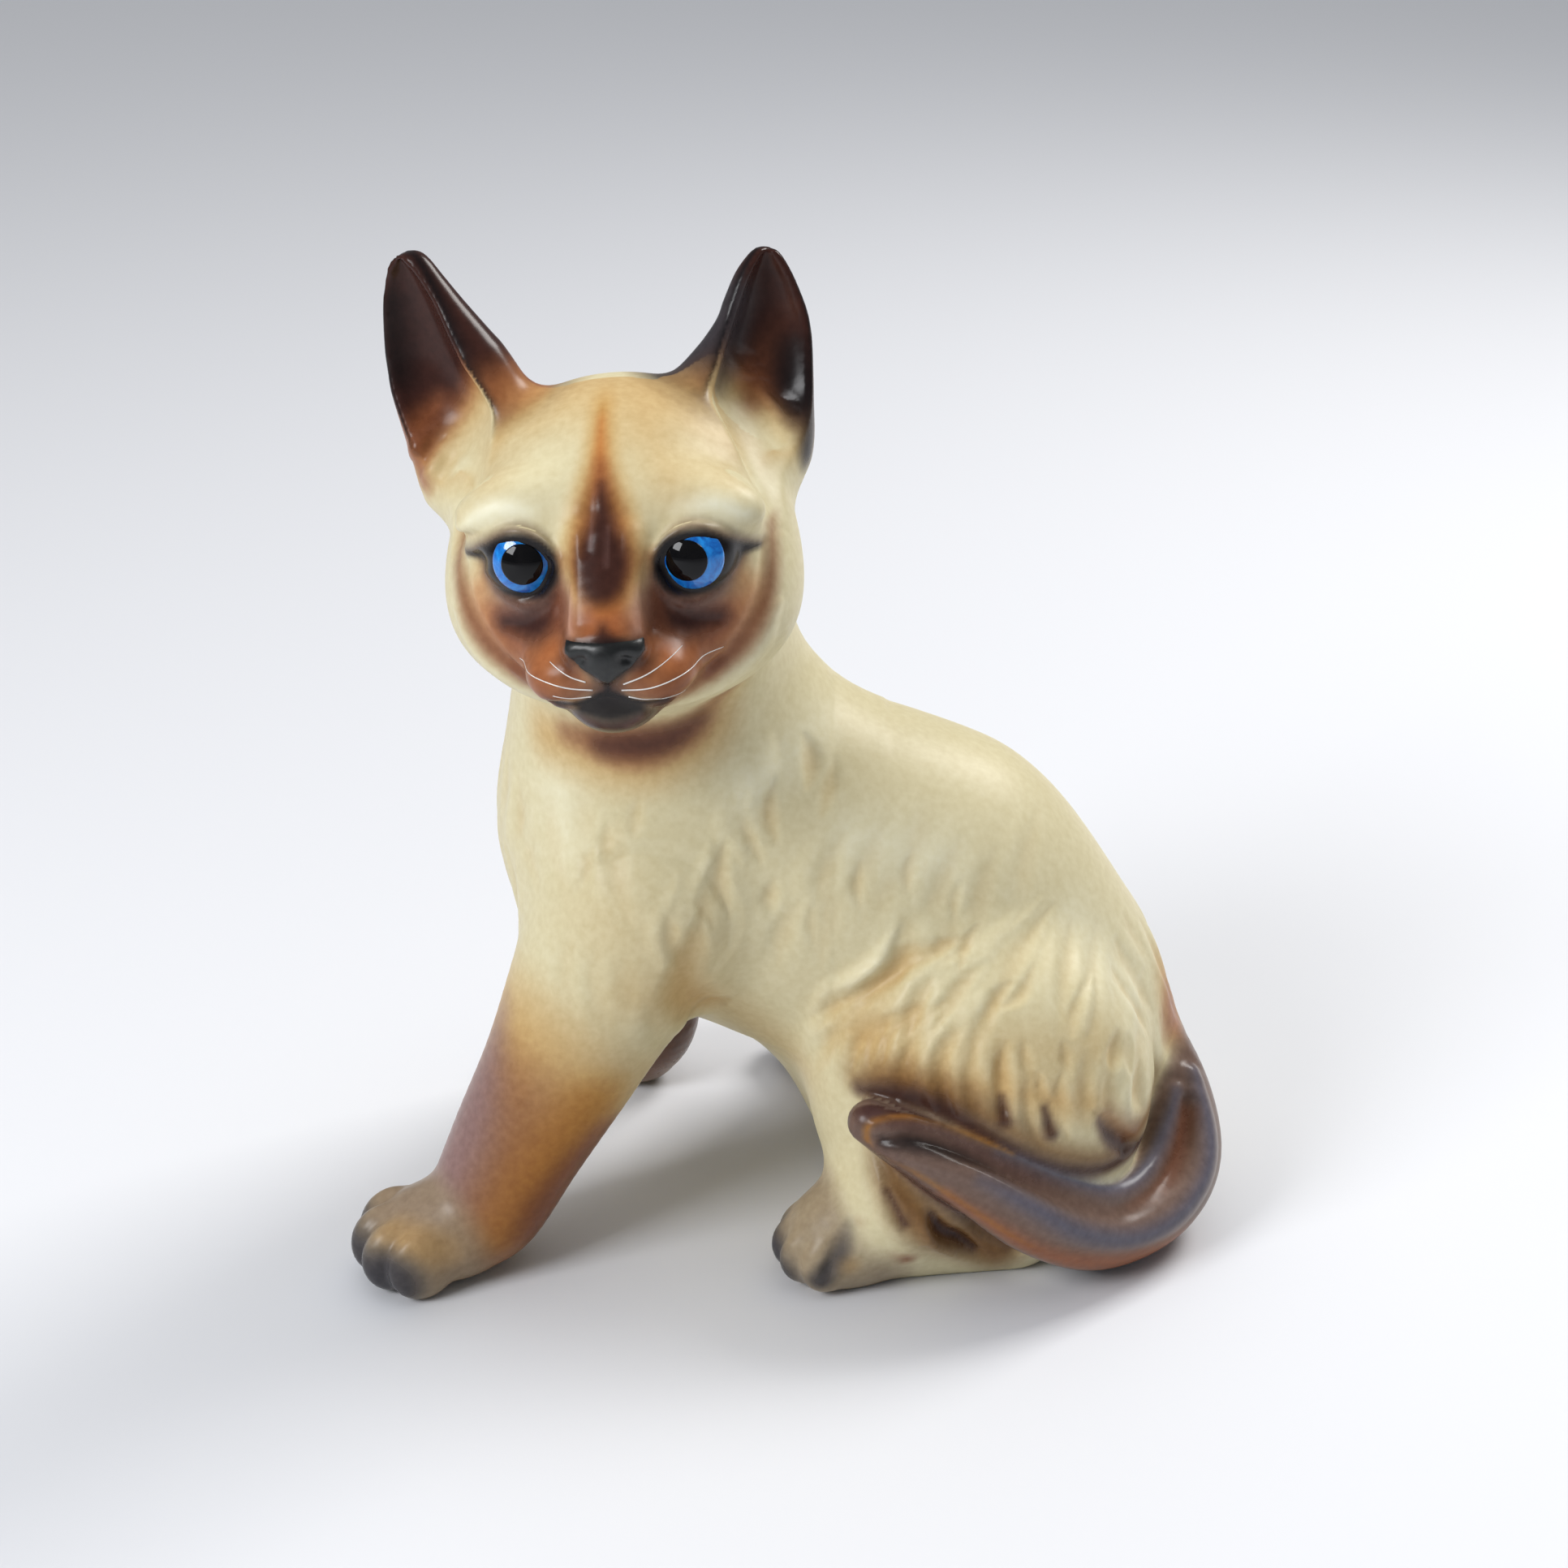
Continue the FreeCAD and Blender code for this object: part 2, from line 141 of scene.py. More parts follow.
def limb(rows, place=WORLD, steps=6):
    """A round limb through rows of x, y, z, radius."""
    path = curve(rows, steps)
    path[:, :3] = place.out(path[:, :3])
    low = (path[:, :3] - path[:, 3:]).min(0)
    high = (path[:, :3] + path[:, 3:]).max(0)

    def distance(p):
        best = np.full(p.shape[:-1], 1e9)
        for a, b in zip(path[:-1], path[1:]):
            span = b[:3] - a[:3]
            t = np.clip(((p - a[:3]) @ span) / max(span @ span, 1e-9), 0, 1)
            d = np.linalg.norm(p - a[:3] - t[..., None] * span, axis=-1)
            best = np.minimum(best, d - a[3] - (b[3] - a[3]) * t)
        return best
    return low, high, distance


def column(rows, place):
    """Elliptical sections up a place's z: rows of z, x, y, half width, half depth."""
    path = curve(rows)
    z_low, z_high = path[0, 0], path[-1, 0]
    wide = np.abs(path[:, 1]).max() + path[:, 3].max()
    deep = np.abs(path[:, 2]).max() + path[:, 4].max()
    corners = place.out([(x, y, z) for x in (-wide, wide) for y in (-deep, deep) for z in (z_low, z_high)])

    def distance(p):
        q = place.into(p)
        x, y, rx, ry = (np.interp(q[..., 2], path[:, 0], path[:, i]) for i in (1, 2, 3, 4))
        a, b = (q[..., 0] - x) / rx, (q[..., 1] - y) / ry
        near, slope = np.hypot(a, b), np.hypot(a / rx, b / ry)
        side = near * (near - 1) / np.maximum(slope, 1e-9)
        return np.maximum(side, np.maximum(z_low - q[..., 2], q[..., 2] - z_high))
    return corners.min(0), corners.max(0), distance


def slab(half, rounding, place):
    """A block with rounded edges about a place's middle."""
    half = np.asarray(half, float)
    spread = (np.abs(place.axes) * half).sum(1)

    def distance(p):
        q = np.abs(place.into(p)) - (half - rounding)
        return np.linalg.norm(np.maximum(q, 0), axis=-1) + np.minimum(q.max(-1), 0) - rounding
    return place.at - spread, place.at + spread, distance


class Clay:
    """A block of distances that shapes are added to and carved from."""
    EMPTY = 20.0

    def __init__(self, low, high, pitch):
        self.low, self.pitch = np.asarray(low, float), pitch
        counts = np.ceil((np.asarray(high, float) - self.low) / pitch).astype(int) + 1
        self.d = np.full(counts, self.EMPTY, np.float32)

    def near(self, low, high, margin):
        """The cells near a shape and the points in their middles."""
        first = np.floor((low - margin - self.low) / self.pitch).astype(int)
        last = np.ceil((high + margin - self.low) / self.pitch).astype(int) + 1
        first = np.clip(first, 0, self.d.shape)
        last = np.clip(last, 0, self.d.shape)
        if (last <= first).any():
            return None, None
        ticks = [self.low[i] + self.pitch * np.arange(first[i], last[i]) for i in range(3)]
        points = np.stack(np.meshgrid(*ticks, indexing="ij"), -1)
        return tuple(slice(a, b) for a, b in zip(first, last)), points

    def add(self, shape, blend=0.0, sign=1):
        low, high, distance = shape
        cells, points = self.near(low, high, blend + 3 * self.pitch)
        if cells:
            self.d[cells] = sign * smooth_min(sign * self.d[cells], distance(points), blend)

    def carve(self, shape, blend=0.0):
        self.add(shape, blend, sign=-1)

    def stand(self):
        """Cut everything flat at the table."""
        heights = self.low[2] + self.pitch * np.arange(self.d.shape[2])
        self.d = np.maximum(self.d, -heights.astype(np.float32))

    def sample(self, points):
        """The distance at points between the grid's."""
        g = np.clip((points - self.low) / self.pitch, 0, np.array(self.d.shape) - 1.001)
        i = g.astype(int)
        f = g - i
        value = 0
        for corner in np.ndindex(2, 2, 2):
            weight = np.prod(np.where(corner, f, 1 - f), axis=1)
            x, y, z = (i + corner).T
            value = value + weight * self.d[x, y, z]
        return value

    def slope(self, points):
        """The outward normal at points."""
        steps = self.pitch * np.eye(3)
        grad = np.stack([self.sample(points + step) - self.sample(points - step) for step in steps], 1)
        return grad / np.maximum(np.linalg.norm(grad, axis=1, keepdims=True), 1e-9)

    def skin(self):
        """Points and quads of the clay's surface, drawn onto it exactly."""
        grid = openvdb.FloatGrid(self.EMPTY)
        grid.copyFromArray(self.d)
        points, quads = grid.convertToQuads(0.0)
        points = self.low + points * self.pitch
        for _ in range(2):
            points = points - self.slope(points) * self.sample(points)[:, None]
        return points, quads[:, ::-1]


# ------------------------ the body's forms

TAIL = [(45, 4, 28, 5), (51.7, -1.5, 20, 6.6), (54.3, -9.5, 11.5, 7), (50.6, -16.5, 7.4, 6.8),
        (42, -23.5, 7.6, 6.6), (33.5, -28.8, 12.8, 6), (24.5, -30.8, 19.5, 5), (15.5, -30.5, 25, 4),
        (10, -29, 27.5, 3)]
FORELEGS = {
    "left": [(-20, -9, 52, 15.5), (-27.2, -13, 39, 12.4), (-32.6, -16, 28.5, 10.6),
             (-38.2, -18.5, 18.5, 9.4), (-42.8, -21, 10, 8.4), (-45.5, -22.5, 7.4, 7.2)],
    "right": [(-20.5, 15, 52, 14), (-21.5, 20, 38, 11), (-22.5, 24, 26, 9.4), (-23, 27, 12, 8.2),
              (-24.5, 28, 7.4, 7.4)],
}
# The paws: middle, half widths, and how far the paw turns from straight ahead.
PAWS = {
    "left": ((-51.6, -24, 6), (9.2, 8.2, 6.6), 27),
    "right": ((-31.5, 32, 6), (9.6, 8.6, 6.6), -20),
    "left_hind": ((5, -24.7, 5.6), (8.4, 6.6, 6.8), 18),
    "right_hind": ((5, 32, 5.6), (8.4, 6.8, 6.8), -18),
}


def shape_torso(clay):
    clay.add(blob((-19.0, MIDDLE, 56), (22, 20.5, 26)))
    clay.add(limb([(-17.5, 4, 62, 20.5), (-19, 2, 76, 19.6), (-19.5, -2, 90, 17.8)]), 8)
    clay.add(limb([(-7.5, 5, 72, 12), (-11.5, 3, 84, 10)]), 6)
    clay.add(blob((-0.5, MIDDLE, 57), (20, 19.5, 19)), 10)
    clay.add(blob((16.0, MIDDLE, 48.2), (24.8, 21.3, 22.7)), 10)
    clay.add(blob((3.5, MIDDLE, 43), (22, 18, 20)), 10)
    clay.add(blob((26.5, MIDDLE, 25.5), (27.6, 25, 30.2)), 10)


def shape_hind_legs(clay):
    for side in BOTH:
        clay.add(blob((26, MIDDLE + 19 * side, 24), (23.5, 14.5, 24)), 6)
        clay.add(limb([(15.5, MIDDLE + 26 * side, 13, 10), (6.5, MIDDLE + 27.5 * side, 7, 6.5)]), 4)
        clay.add(limb([(30, MIDDLE + 21 * side, 6, 8.5), (11, MIDDLE + 24.5 * side, 5, 7)]), 4)


def shape_paw(clay, name):
    """A paw: its pad and four toes in a fan at the front of it."""
    centre, radii, turned = PAWS[name]
    frame_of_paw = Place(centre, about(Z, turned))
    clay.add(blob((1.2, 0, 0), np.array(radii) * (0.9, 1, 1), place=frame_of_paw), 3)
    size = radii[1] / 8.6
    for across, ahead, wide in ((-6.2, 2.6, 2.9), (-2.3, 5.2, 3.3), (2.4, 5.2, 3.3), (6.2, 2.6, 2.9)):
        toe = (-ahead * size, across * size, -0.6)
        clay.add(blob(toe, (5.2 * size, wide * size, 5.6 * size), place=frame_of_paw), 0.9)


def shape_forelegs(clay):
    for rows in FORELEGS.values():
        clay.add(limb(rows), 5)


def shape_tail(clay):
    clay.add(limb([(36, 4, 32, 8), (45.5, 2.5, 27, 7), (50.5, -1, 20.5, 6)]), 5)
    clay.add(limb(TAIL, steps=8), 1.5)


def pierce_vent(clay):
    """The hole in the underside that the slip was poured out of."""
    clay.carve(limb([(27, MIDDLE, -3, 1.75), (27, MIDDLE, 7, 1.75)]), 0.4)


def sculpt_body(clay):
    shape_torso(clay)
    shape_hind_legs(clay)
    shape_forelegs(clay)
    shape_tail(clay)
    for name in PAWS:
        shape_paw(clay, name)
    pierce_vent(clay)


# ------------------------ the head's forms

EYE = np.array((10.2, -16.3, 4))        # an eyeball's middle; the other's x is mirrored
EYE_RADIUS = 5.5

# Each ear: base, tip and the way its opening looks, then its outside and its cup as sections:
# how far up the ear, x and y of the middle, half width, half depth.
EARS = {
    "left": {
        "base": (-4.9, -5, 115), "tip": (-3.3, 0, 138.4), "looks": (0.40, -0.90, 0),
        "outside": [
            (-10, -1, 1, 4, 3), (-4, -1.4, 1, 8.4, 6.4), (0, -1.8, 1, 9.8, 7),
            (5.8, -1.6, 1, 9.2, 6.4), (9.4, -1.4, 0.9, 8.7, 5.6), (12.5, -0.4, 0.9, 7.4, 4.8),
            (15.2, 0.2, 0.9, 6.3, 4.2), (17.6, 0.2, 1, 5.5, 3.6), (20.9, 0, 1.1, 4, 2.8),
            (23, 0, 1.2, 2.6, 2.1), (24.1, 0, 1.2, 1.6, 1.3), (24.6, 0, 1.2, 0.5, 0.5)],
        "cup": [
            (-9, -1, -16, 2.5, 2.5), (-2, -1.4, -10.8, 5, 4.4), (3, -1.4, -6.6, 6.4, 5.4),
            (6, -1.2, -5, 7.2, 6), (9.4, -0.5, -4.3, 6.9, 5.8), (15, 0.1, -3, 5.4, 4.9),
            (20, 0, -1.6, 3.2, 3.2), (23, -0.1, -0.6, 1.3, 1.8), (24, 0, -0.4, 0.5, 1)],
    },
    "right": {
        "base": (-40.4, -7, 114), "tip": (-50.2, -4, 138.2), "looks": (-0.45, -0.88, 0),
        "outside": [
            (-12, -1, 1, 4, 3), (-5, -0.6, 1, 9.4, 6.8), (-2, -0.2, 1, 10.4, 7.2),
            (2, 0.2, 1, 10.2, 7), (7, 0.1, 1, 9.5, 6.4), (11.5, 0, 0.9, 8.7, 5.8),
            (13.7, -0.1, 0.9, 8, 5.2), (16, -0.2, 0.9, 7.2, 4.7), (19, -0.2, 1, 6, 4),
            (22.1, 0, 1.1, 4.7, 3.2), (25, 0.5, 1.2, 3.2, 2.3), (26.3, 0.7, 1.2, 2, 1.6),
            (26.8, 0.8, 1.2, 0.7, 0.7)],
        "cup": [
            (-9, 0.4, -16, 2.5, 2.5), (-2, 0.4, -10.8, 4.8, 4.4), (3, 0.4, -6.6, 6.2, 5.4),
            (6, 0.2, -5, 6.6, 6), (12, -1, -3.9, 6.2, 5.7), (16, -1, -3.2, 5.4, 5),
            (20, -0.6, -2.2, 4.2, 4), (24, -0.2, -1, 2.4, 2.6), (26, 0.2, -0.5, 0.7, 1.4)],
    },
}


def shape_skull(clay):
    clay.add(blob((0, 1, 4.4), (21, 20, 17.9), place=HEAD), 5)
    for side in BOTH:
        clay.add(blob((10.1 * side, -4.5, -4), (12.6, 14, 12.4), place=HEAD), 6)
    clay.add(blob((0, -7, -8), (14.2, 14, 10.6), place=HEAD), 6)
    clay.add(blob((0, -11, 2), (14, 9.5, 12), place=HEAD), 5)


def shape_ears(clay):
    """Each ear's outside, and then the cup in its front."""
    for ear in EARS.values():
        clay.add(column(ear["outside"], ear_place(ear)), 4)
    for ear in EARS.values():
        clay.carve(column(ear["cup"], ear_place(ear)), 1.4)


def ear_place(ear):
    return looking(ear["base"], np.subtract(ear["tip"], ear["base"]), ear["looks"])


def shape_muzzle(clay):
    clay.add(blob((0, -18.5, -8.6), (9.8, 8.6, 6.9), place=HEAD), 5)
    for side in BOTH:
        clay.add(blob((4.9 * side, -22.0, -9.4), (5.6, 6, 4.4), place=HEAD), 1.6)
    clay.add(limb([(0, -15, 6, 5.5), (0, -22, -1, 4.6), (0, -26, -5.5, 3.2)], HEAD), 4)
    bridge = Place(HEAD.out((0.2, -22.6, 1.4)), HEAD.axes @ about(X, -33))
    clay.add(slab((4.2, 3, 7), 1.6, bridge), 2.2)
    clay.add(blob((0, -20, -13.9), (5.4, 6.2, 3.7), place=HEAD), 1.6)


def shape_nose(clay):
    """The leather's wedge with a dimple for each nostril, and the mouth under it."""
    clay.add(blob((0.1, -27, -5.4), (4.4, 3.2, 2.6), place=HEAD), 0.8)
    clay.add(limb([(0.1, -27.6, -5.5, 2.3), (0.2, -28.6, -8.2, 0.9)], HEAD), 0.8)
    for side in BOTH:
        clay.add(blob((3.2 * side, -26.7, -5.1), (1.9, 2.4, 1.6), place=HEAD), 1.2)
        clay.carve(blob((3.0 * side, -29.9, -6.0), (1.3, 1.5, 0.7), about(Y, 25 * side), HEAD), 0.9)
    clay.carve(limb([(0.2, -30.2, -8.6, 0.5), (0.1, -29.2, -10.7, 0.8)], HEAD), 1.2)
    for side in BOTH:
        clay.carve(limb([(0.1, -29.2, -10.7, 0.8), (2.2 * side, -28.6, -11.7, 0.9),
                         (4.4 * side, -27.4, -12.6, 0.8), (7.4 * side, -24.8, -12.4, 0.5)], HEAD), 1.2)


def shape_eyes(clay):
    """Eyeballs between two lids, under a bulging brow and beside the bridge's hollow."""
    for side in BOTH:
        flip = np.array((side, 1, 1, 1))
        clay.carve(blob((5.9 * side, -24.6, 1.6), (1.2, 2.6, 4.6), place=HEAD), 1.6)
        clay.add(blob((12.6 * side, -14.9, 9.4), (6.4, 3.8, 3.2), about(Y, 10 * side), HEAD), 5)
        clay.add(blob(EYE * (side, 1, 1), (EYE_RADIUS,) * 3, place=HEAD), 0.8)
        upper = [(5.7, -21.2, 4.1, 0.3), (7.7, -21.1, 6.7, 0.55), (10.8, -20.7, 7.9, 0.6),
                 (14.2, -18.5, 6.5, 0.5), (17, -12.8, 4, 0.1)]
        lower = [(5.8, -21.4, 2.8, 0.3), (7.6, -21.1, -0.2, 0.45), (10.3, -20, -1.5, 0.5),
                 (13.6, -17.8, -0.1, 0.4), (15.8, -13.4, 2.8, 0.1)]
        for lid in (upper, lower):
            clay.add(limb(np.array(lid) * flip, HEAD), 1.2)


def sculpt_head(clay):
    shape_skull(clay)
    shape_ears(clay)
    shape_muzzle(clay)
    shape_eyes(clay)
    shape_nose(clay)


# ------------------------ strokes: relief and paint

def reach(points, rows):
    """Distance from points to a chain of rows that end in a radius, and the radius there."""
    best = np.full(len(points), 1e9)
    radius = np.zeros(len(points))
    for a, b in zip(rows[:-1], rows[1:]):
        span = b[:-1] - a[:-1]
        t = np.clip(((points - a[:-1]) @ span) / max(span @ span, 1e-9), 0, 1)
        d = np.linalg.norm(points - a[:-1] - t[:, None] * span, axis=1)
        r = a[-1] + (b[-1] - a[-1]) * t
        closer = d - r < best - radius
        best = np.where(closer, d, best)
        radius = np.where(closer, r, radius)
    return best, radius


class Skin:
    """The points and normals that strokes are laid on."""

    def __init__(self, points, normals):
        self.points, self.normals = points, normals
        self.dent = np.zeros(len(points))
        self.views = {}

    def seen(self, view):
        """Each point's place across a view, and whether it faces the view."""
        if view not in self.views:
            place, facing = VIEWS[view]
            flat = place.into(self.points)[:, ::2]
            turned = (self.normals @ place.axes)[:, 1] * facing
            self.views[view] = flat, turned > 0.05
        return self.views[view]

    def under(self, view, rows, margin):
        """The points near a stroke: their indices, distances and the stroke's radius at each."""
        rows = np.atleast_2d(np.asarray(rows, float))
        if len(rows) == 1:
            rows = np.vstack([rows, rows])
        if view:
            flat, faces = self.seen(view)
        else:
            flat, faces = self.points, True
        wide = rows[:, -1].max() + margin
        low, high = rows[:, :-1].min(0) - wide, rows[:, :-1].max(0) + wide
        near = np.nonzero(((flat > low) & (flat < high)).all(1) & faces)[0]
        return near, *reach(flat[near], curve(rows, 4) if len(rows) > 2 else rows)


# The ways that flat strokes are thrown onto the skin: a place and which way its faces look.
ALONG = Place(axes=about(Z, 90))
VIEWS = {"near": (WORLD, -1), "far": (WORLD, 1), "face": (HEAD, -1),
         "front": (ALONG, 1), "rear": (ALONG, -1)}


def relieve(skin, view, depth, rows):
    """Raise or press the skin along a stroke, less where the stroke is narrow."""
    near, d, r = skin.under(view, rows, 0)
    profile = np.maximum(1 - (d / np.maximum(r, 1e-6)) ** 2, 0) ** 2
    skin.dent[near] += depth * profile * r / max(row[-1] for row in rows)


def rise(values, start, length):
    """From 0 to 1 in a straight line as the values go from the start over a length."""
    return np.clip((values - start) / length, 0, 1)


def eased(share):
    """The same share with soft ends."""
    return share * share * (3 - 2 * share)


def tinted(paint, colour, cover):
    """The paint with a colour laid over it, as opaque as the cover at each point."""
    cover = cover[:, None]
    return paint * (1 - cover) + colour * cover


def spray(skin, paint, view, colour, strength, soft, rows):
    """Airbrush a colour along a stroke."""
    near, d, r = skin.under(view, rows, soft)
    cover = strength * eased(np.clip(0.5 - (d - r) / soft, 0, 1))
    paint[near] = tinted(paint[near], colour, cover)


def mirrored(rows):
    return [(-row[0], *row[1:]) for row in rows]


# ------------------------ fur and seams in relief

# Strokes on the flanks, seen from the side: depth, then rows of x, z, radius.
FLANK_FUR = [
    (-1.1, [(21.9, 50.1, 0.6), (16.3, 48.1, 2.2), (13.2, 45.9, 2.3), (7, 40.9, 0.9)]),
    (0.8, [(13.6, 52, 0.6), (11.1, 46.9, 1.9), (7.6, 43.3, 2), (5, 40.1, 0.7)]),
    (-0.6, [(16.2, 42.3, 0.6), (13.2, 39.9, 1.4), (12.3, 37.8, 1.4), (11.9, 35, 0.6)]),
    (-0.6, [(19.6, 43.1, 0.6), (16.6, 40.9, 1.4), (15.3, 38.8, 1.4), (14.5, 35.6, 0.6)]),
    (-0.5, [(11.1, 40.5, 0.6), (9.3, 38.5, 1.3), (8.1, 35.9, 1.3), (7.6, 33, 0.6)]),
    (-0.5, [(13.6, 41.1, 0.6), (11.5, 39.1, 1.3), (10.2, 36.6, 1.3), (9.8, 34, 0.6)]),
    (-0.5, [(28.8, 45.3, 0.6), (26.5, 43.7, 1.4), (25.6, 41.7, 0.6)]),
    (-0.5, [(32, 46.5, 0.6), (30.5, 44.4, 1.4), (27.8, 42.9, 0.6)]),
    (-0.5, [(38.6, 43.2, 0.6), (37.6, 41.1, 1.4), (37.2, 38.8, 0.6)]),
    (0.5, [(40.3, 43.2, 0.6), (39.4, 41.1, 1.4), (39, 38.6, 0.6)]),
    (-1, [(28.2, 38.9, 0.6), (27.4, 35.2, 1.7), (27.9, 30.2, 1.9)]),
    (-0.5, [(30.4, 38.7, 0.6), (30.6, 36.8, 1.3), (30.8, 34.6, 0.6)]),
    (-1, [(32.4, 34.6, 0.6), (33.4, 30.4, 1.7), (34.1, 27, 1.4)]),
    (-0.5, [(35.7, 38, 0.6), (36.2, 36, 1.4), (36.8, 33.6, 0.6)]),
    (-0.7, [(43.6, 37, 0.6), (43.4, 35, 1.9), (43.4, 32.8, 0.6)]),
    (-0.5, [(45.2, 35.7, 0.6), (45.2, 33.8, 1.3), (45.5, 31.8, 0.6)]),
    (-1.2, [(40.6, 27.9, 0.7), (42.8, 24.4, 2.2), (45.9, 19.6, 1.9)]),
    (-0.8, [(12.4, 18.4, 0.6), (13.3, 15.4, 1.7), (15.1, 12.6, 0.6)]),
    (-1.4, [(18.2, 15.9, 0.6), (20.5, 11.1, 2.2), (25.5, 5.2, 0.9)]),
    (-0.9, [(22.2, 15.7, 0.7), (25.9, 10, 1.9), (31.3, 5, 0.9)]),
    (0.7, [(9.9, 22.6, 0.7), (12.2, 17.4, 1.7), (17.4, 10.2, 1)]),
    (0.6, [(16.4, 16, 0.6), (17.9, 11.6, 1.6), (21.6, 6.2, 0.7)]),
    (-0.6, [(24.5, 51.5, 0.4), (22.8, 49.2, 1.3), (21.8, 46.2, 0.4)]),
    (-0.4, [(8.8, 60.6, 0.4), (8.2, 57.6, 1.3), (8.6, 54.6, 0.4)]),
    (-0.4, [(15.8, 61.6, 0.4), (15, 58.6, 1.3), (15.3, 55.6, 0.4)]),
    (-0.4, [(22.4, 57.6, 0.4), (21.4, 54.8, 1.3), (21.4, 52, 0.4)]),
    (-0.3, [(2.8, 55.6, 0.4), (2, 52.4, 1.3), (2.4, 49.4, 0.4)]),
]

# The fur over the shoulders and down the chest, seen from the side.
SHOULDER_FUR = [
    (-0.4, [(-24.4, 66.6, 0.6), (-25.1, 64.4, 1.6), (-25.4, 62.2, 0.6)]),
    (-0.4, [(-26.8, 63.6, 0.6), (-27.5, 61.4, 1.6), (-27.8, 59.2, 0.6)]),
    (-0.3, [(-20.6, 69.8, 0.6), (-21.2, 67.6, 1.6), (-21.4, 65.4, 0.6)]),
    (-0.4, [(-2.8, 58.4, 0.6), (-3.4, 56, 1.7), (-3.2, 53.4, 0.6)]),
    (-0.5, [(1.2, 75.4, 0.6), (2.2, 72.6, 1.9), (1.8, 69.6, 0.6)]),
    (-0.4, [(5.2, 72.2, 0.6), (4.6, 69.4, 1.7), (3.4, 66.4, 0.6)]),
    (0.6, [(-3.6, 76, 1.2), (-4.8, 72.2, 3.2), (-6, 68.6, 0.9)]),
    (-1.3, [(-12.4, 56, 0.5), (-13.4, 51, 2.6), (-14.8, 44, 4.2), (-13, 38, 4.5)]),
]


def locks(first, last, count, way, length, width, depth):
    """Locks of fur side by side between two places, each a groove with a ridge beside it."""
    first, last, way = np.array(first), np.array(last), np.asarray(way) / np.hypot(*way)
    across = np.array((way[1], -way[0]))
    strokes = []
    for i, share in enumerate(np.linspace(0, 1, count)):
        sway, turn = math.sin(2.4 * i), math.cos(1.7 * i)
        long = length * (1 + 0.3 * sway)
        start = first + (last - first) * share + way * 0.2 * length * turn
        middle, end = start + way * long * 0.5 + across * long * 0.1, start + way * long
        for offset, lift in ((0, -depth), (1.1 * width, 0.8 * depth)):
            aside = across * offset
            strokes.append((lift * (1 + 0.3 * turn), [(*(start + aside), 0.3 * width),
                                                      (*(middle + aside), width),
                                                      (*(end + aside), 0.3 * width)]))
    return strokes


# Rows of locks, seen from the side: first and last root, count, way they lie, length, width, depth.
LOCKS = [
    ((-3, 73), (-15.5, 57), 7, (0.05, -1), 8, 1.9, 0.45),
    ((7, 66), (33, 61), 6, (-0.25, -1), 11, 2.5, 0.20),
    ((2, 58), (24, 56), 5, (-0.35, -1), 11, 2.5, 0.18),
    ((12, 46), (34, 50.5), 7, (-0.85, -1), 11, 1.8, 0.42),
    ((9, 40), (27, 43), 6, (-0.55, -1), 10, 1.8, 0.42),
    ((20, 40), (47, 33), 8, (0.12, -1), 10, 1.8, 0.48),
    ((38, 51), (49, 39), 4, (-0.1, -1), 10, 2.2, 0.22),
    ((-36, 69), (-23, 69), 4, (0.1, -1), 11, 2.5, 0.18),
    ((-30, 54), (-18, 46), 4, (0.1, -1), 10, 2.4, 0.15),
    ((11, 21.5), (21, 14), 5, (0.6, -1), 11, 1.6, 0.32),
    ((-9.5, 128), (-4, 121.5), 5, (1, -0.6), 5, 1.0, 0.25),
    ((-44, 117), (-36, 109), 5, (-0.8, -1), 6, 1.5, 0.40),
]

# The same on the chest and the rump, seen along the body; the first number is a Y.
END_LOCKS = {
    "front": [((-8, 70), (14, 70), 6, (0.05, -1), 10, 2.3, 0.22),
              ((-6, 58), (12, 58), 5, (-0.05, -1), 10, 2.3, 0.22)],
    "rear": [((-13, 44), (19, 44), 8, (0, -1), 10, 2.2, 0.25),
             ((-10, 31), (16, 31), 6, (0, -1), 9, 2.2, 0.25)],
}

# The tail's two long ridges and the gutter between them: depth, rows of x, y, z, radius.
TAIL_RELIEF = [
    (0.7, [(10.5, -31.5, 28.8, 1), (16.2, -30.7, 29, 1.6), (22.5, -30.6, 26.6, 1.9),
        (29.4, -30.4, 23.3, 2.2), (36.3, -29, 18.6, 2.5), (42.6, -25.9, 14.4, 2.5),
        (47.9, -21.2, 13.4, 2.5), (52, -14.7, 15.9, 2.5), (54.2, -10.1, 20.6, 2)]),
    (0.9, [(12, -33.2, 25.4, 0.8), (18, -34.6, 24.3, 1.6), (24.6, -34.4, 22, 2.2), (31.4, -34.7, 18, 3),
        (38.4, -33.1, 12.7, 3.2), (45.9, -28.7, 8.6, 3.2), (52.6, -23.7, 8.4, 3.2),
        (57.3, -18.1, 11.3, 3.2), (58.4, -13, 15.9, 3), (56.8, -7, 21.9, 2.2)]),
    (-1.2, [(10.9, -32.9, 27.1, 1.1), (16.1, -33.2, 27.8, 1.9), (22.4, -33, 25.2, 2),
        (29, -32.8, 21, 2.2), (35, -31.5, 16.5, 2.5), (42, -28, 11.8, 2.5), (48.5, -23, 11, 2.5),
        (54, -17, 14, 2.5), (55.8, -11, 19.5, 1.8)]),
]

# The grooves between the toes of the near paws: depth, rows of x, y, z, radius.
TOE_RELIEF = [
    (-0.8, [(8.1, -29.6, 12.8, 0.8), (5.9, -30.8, 9, 1.6), (4.4, -32, 5.5, 1.6)]),
    (-0.6, [(10, -29.8, 12.5, 0.8), (12.6, -30.4, 9.5, 1.3), (15.2, -30.6, 6.8, 0.8)]),
]

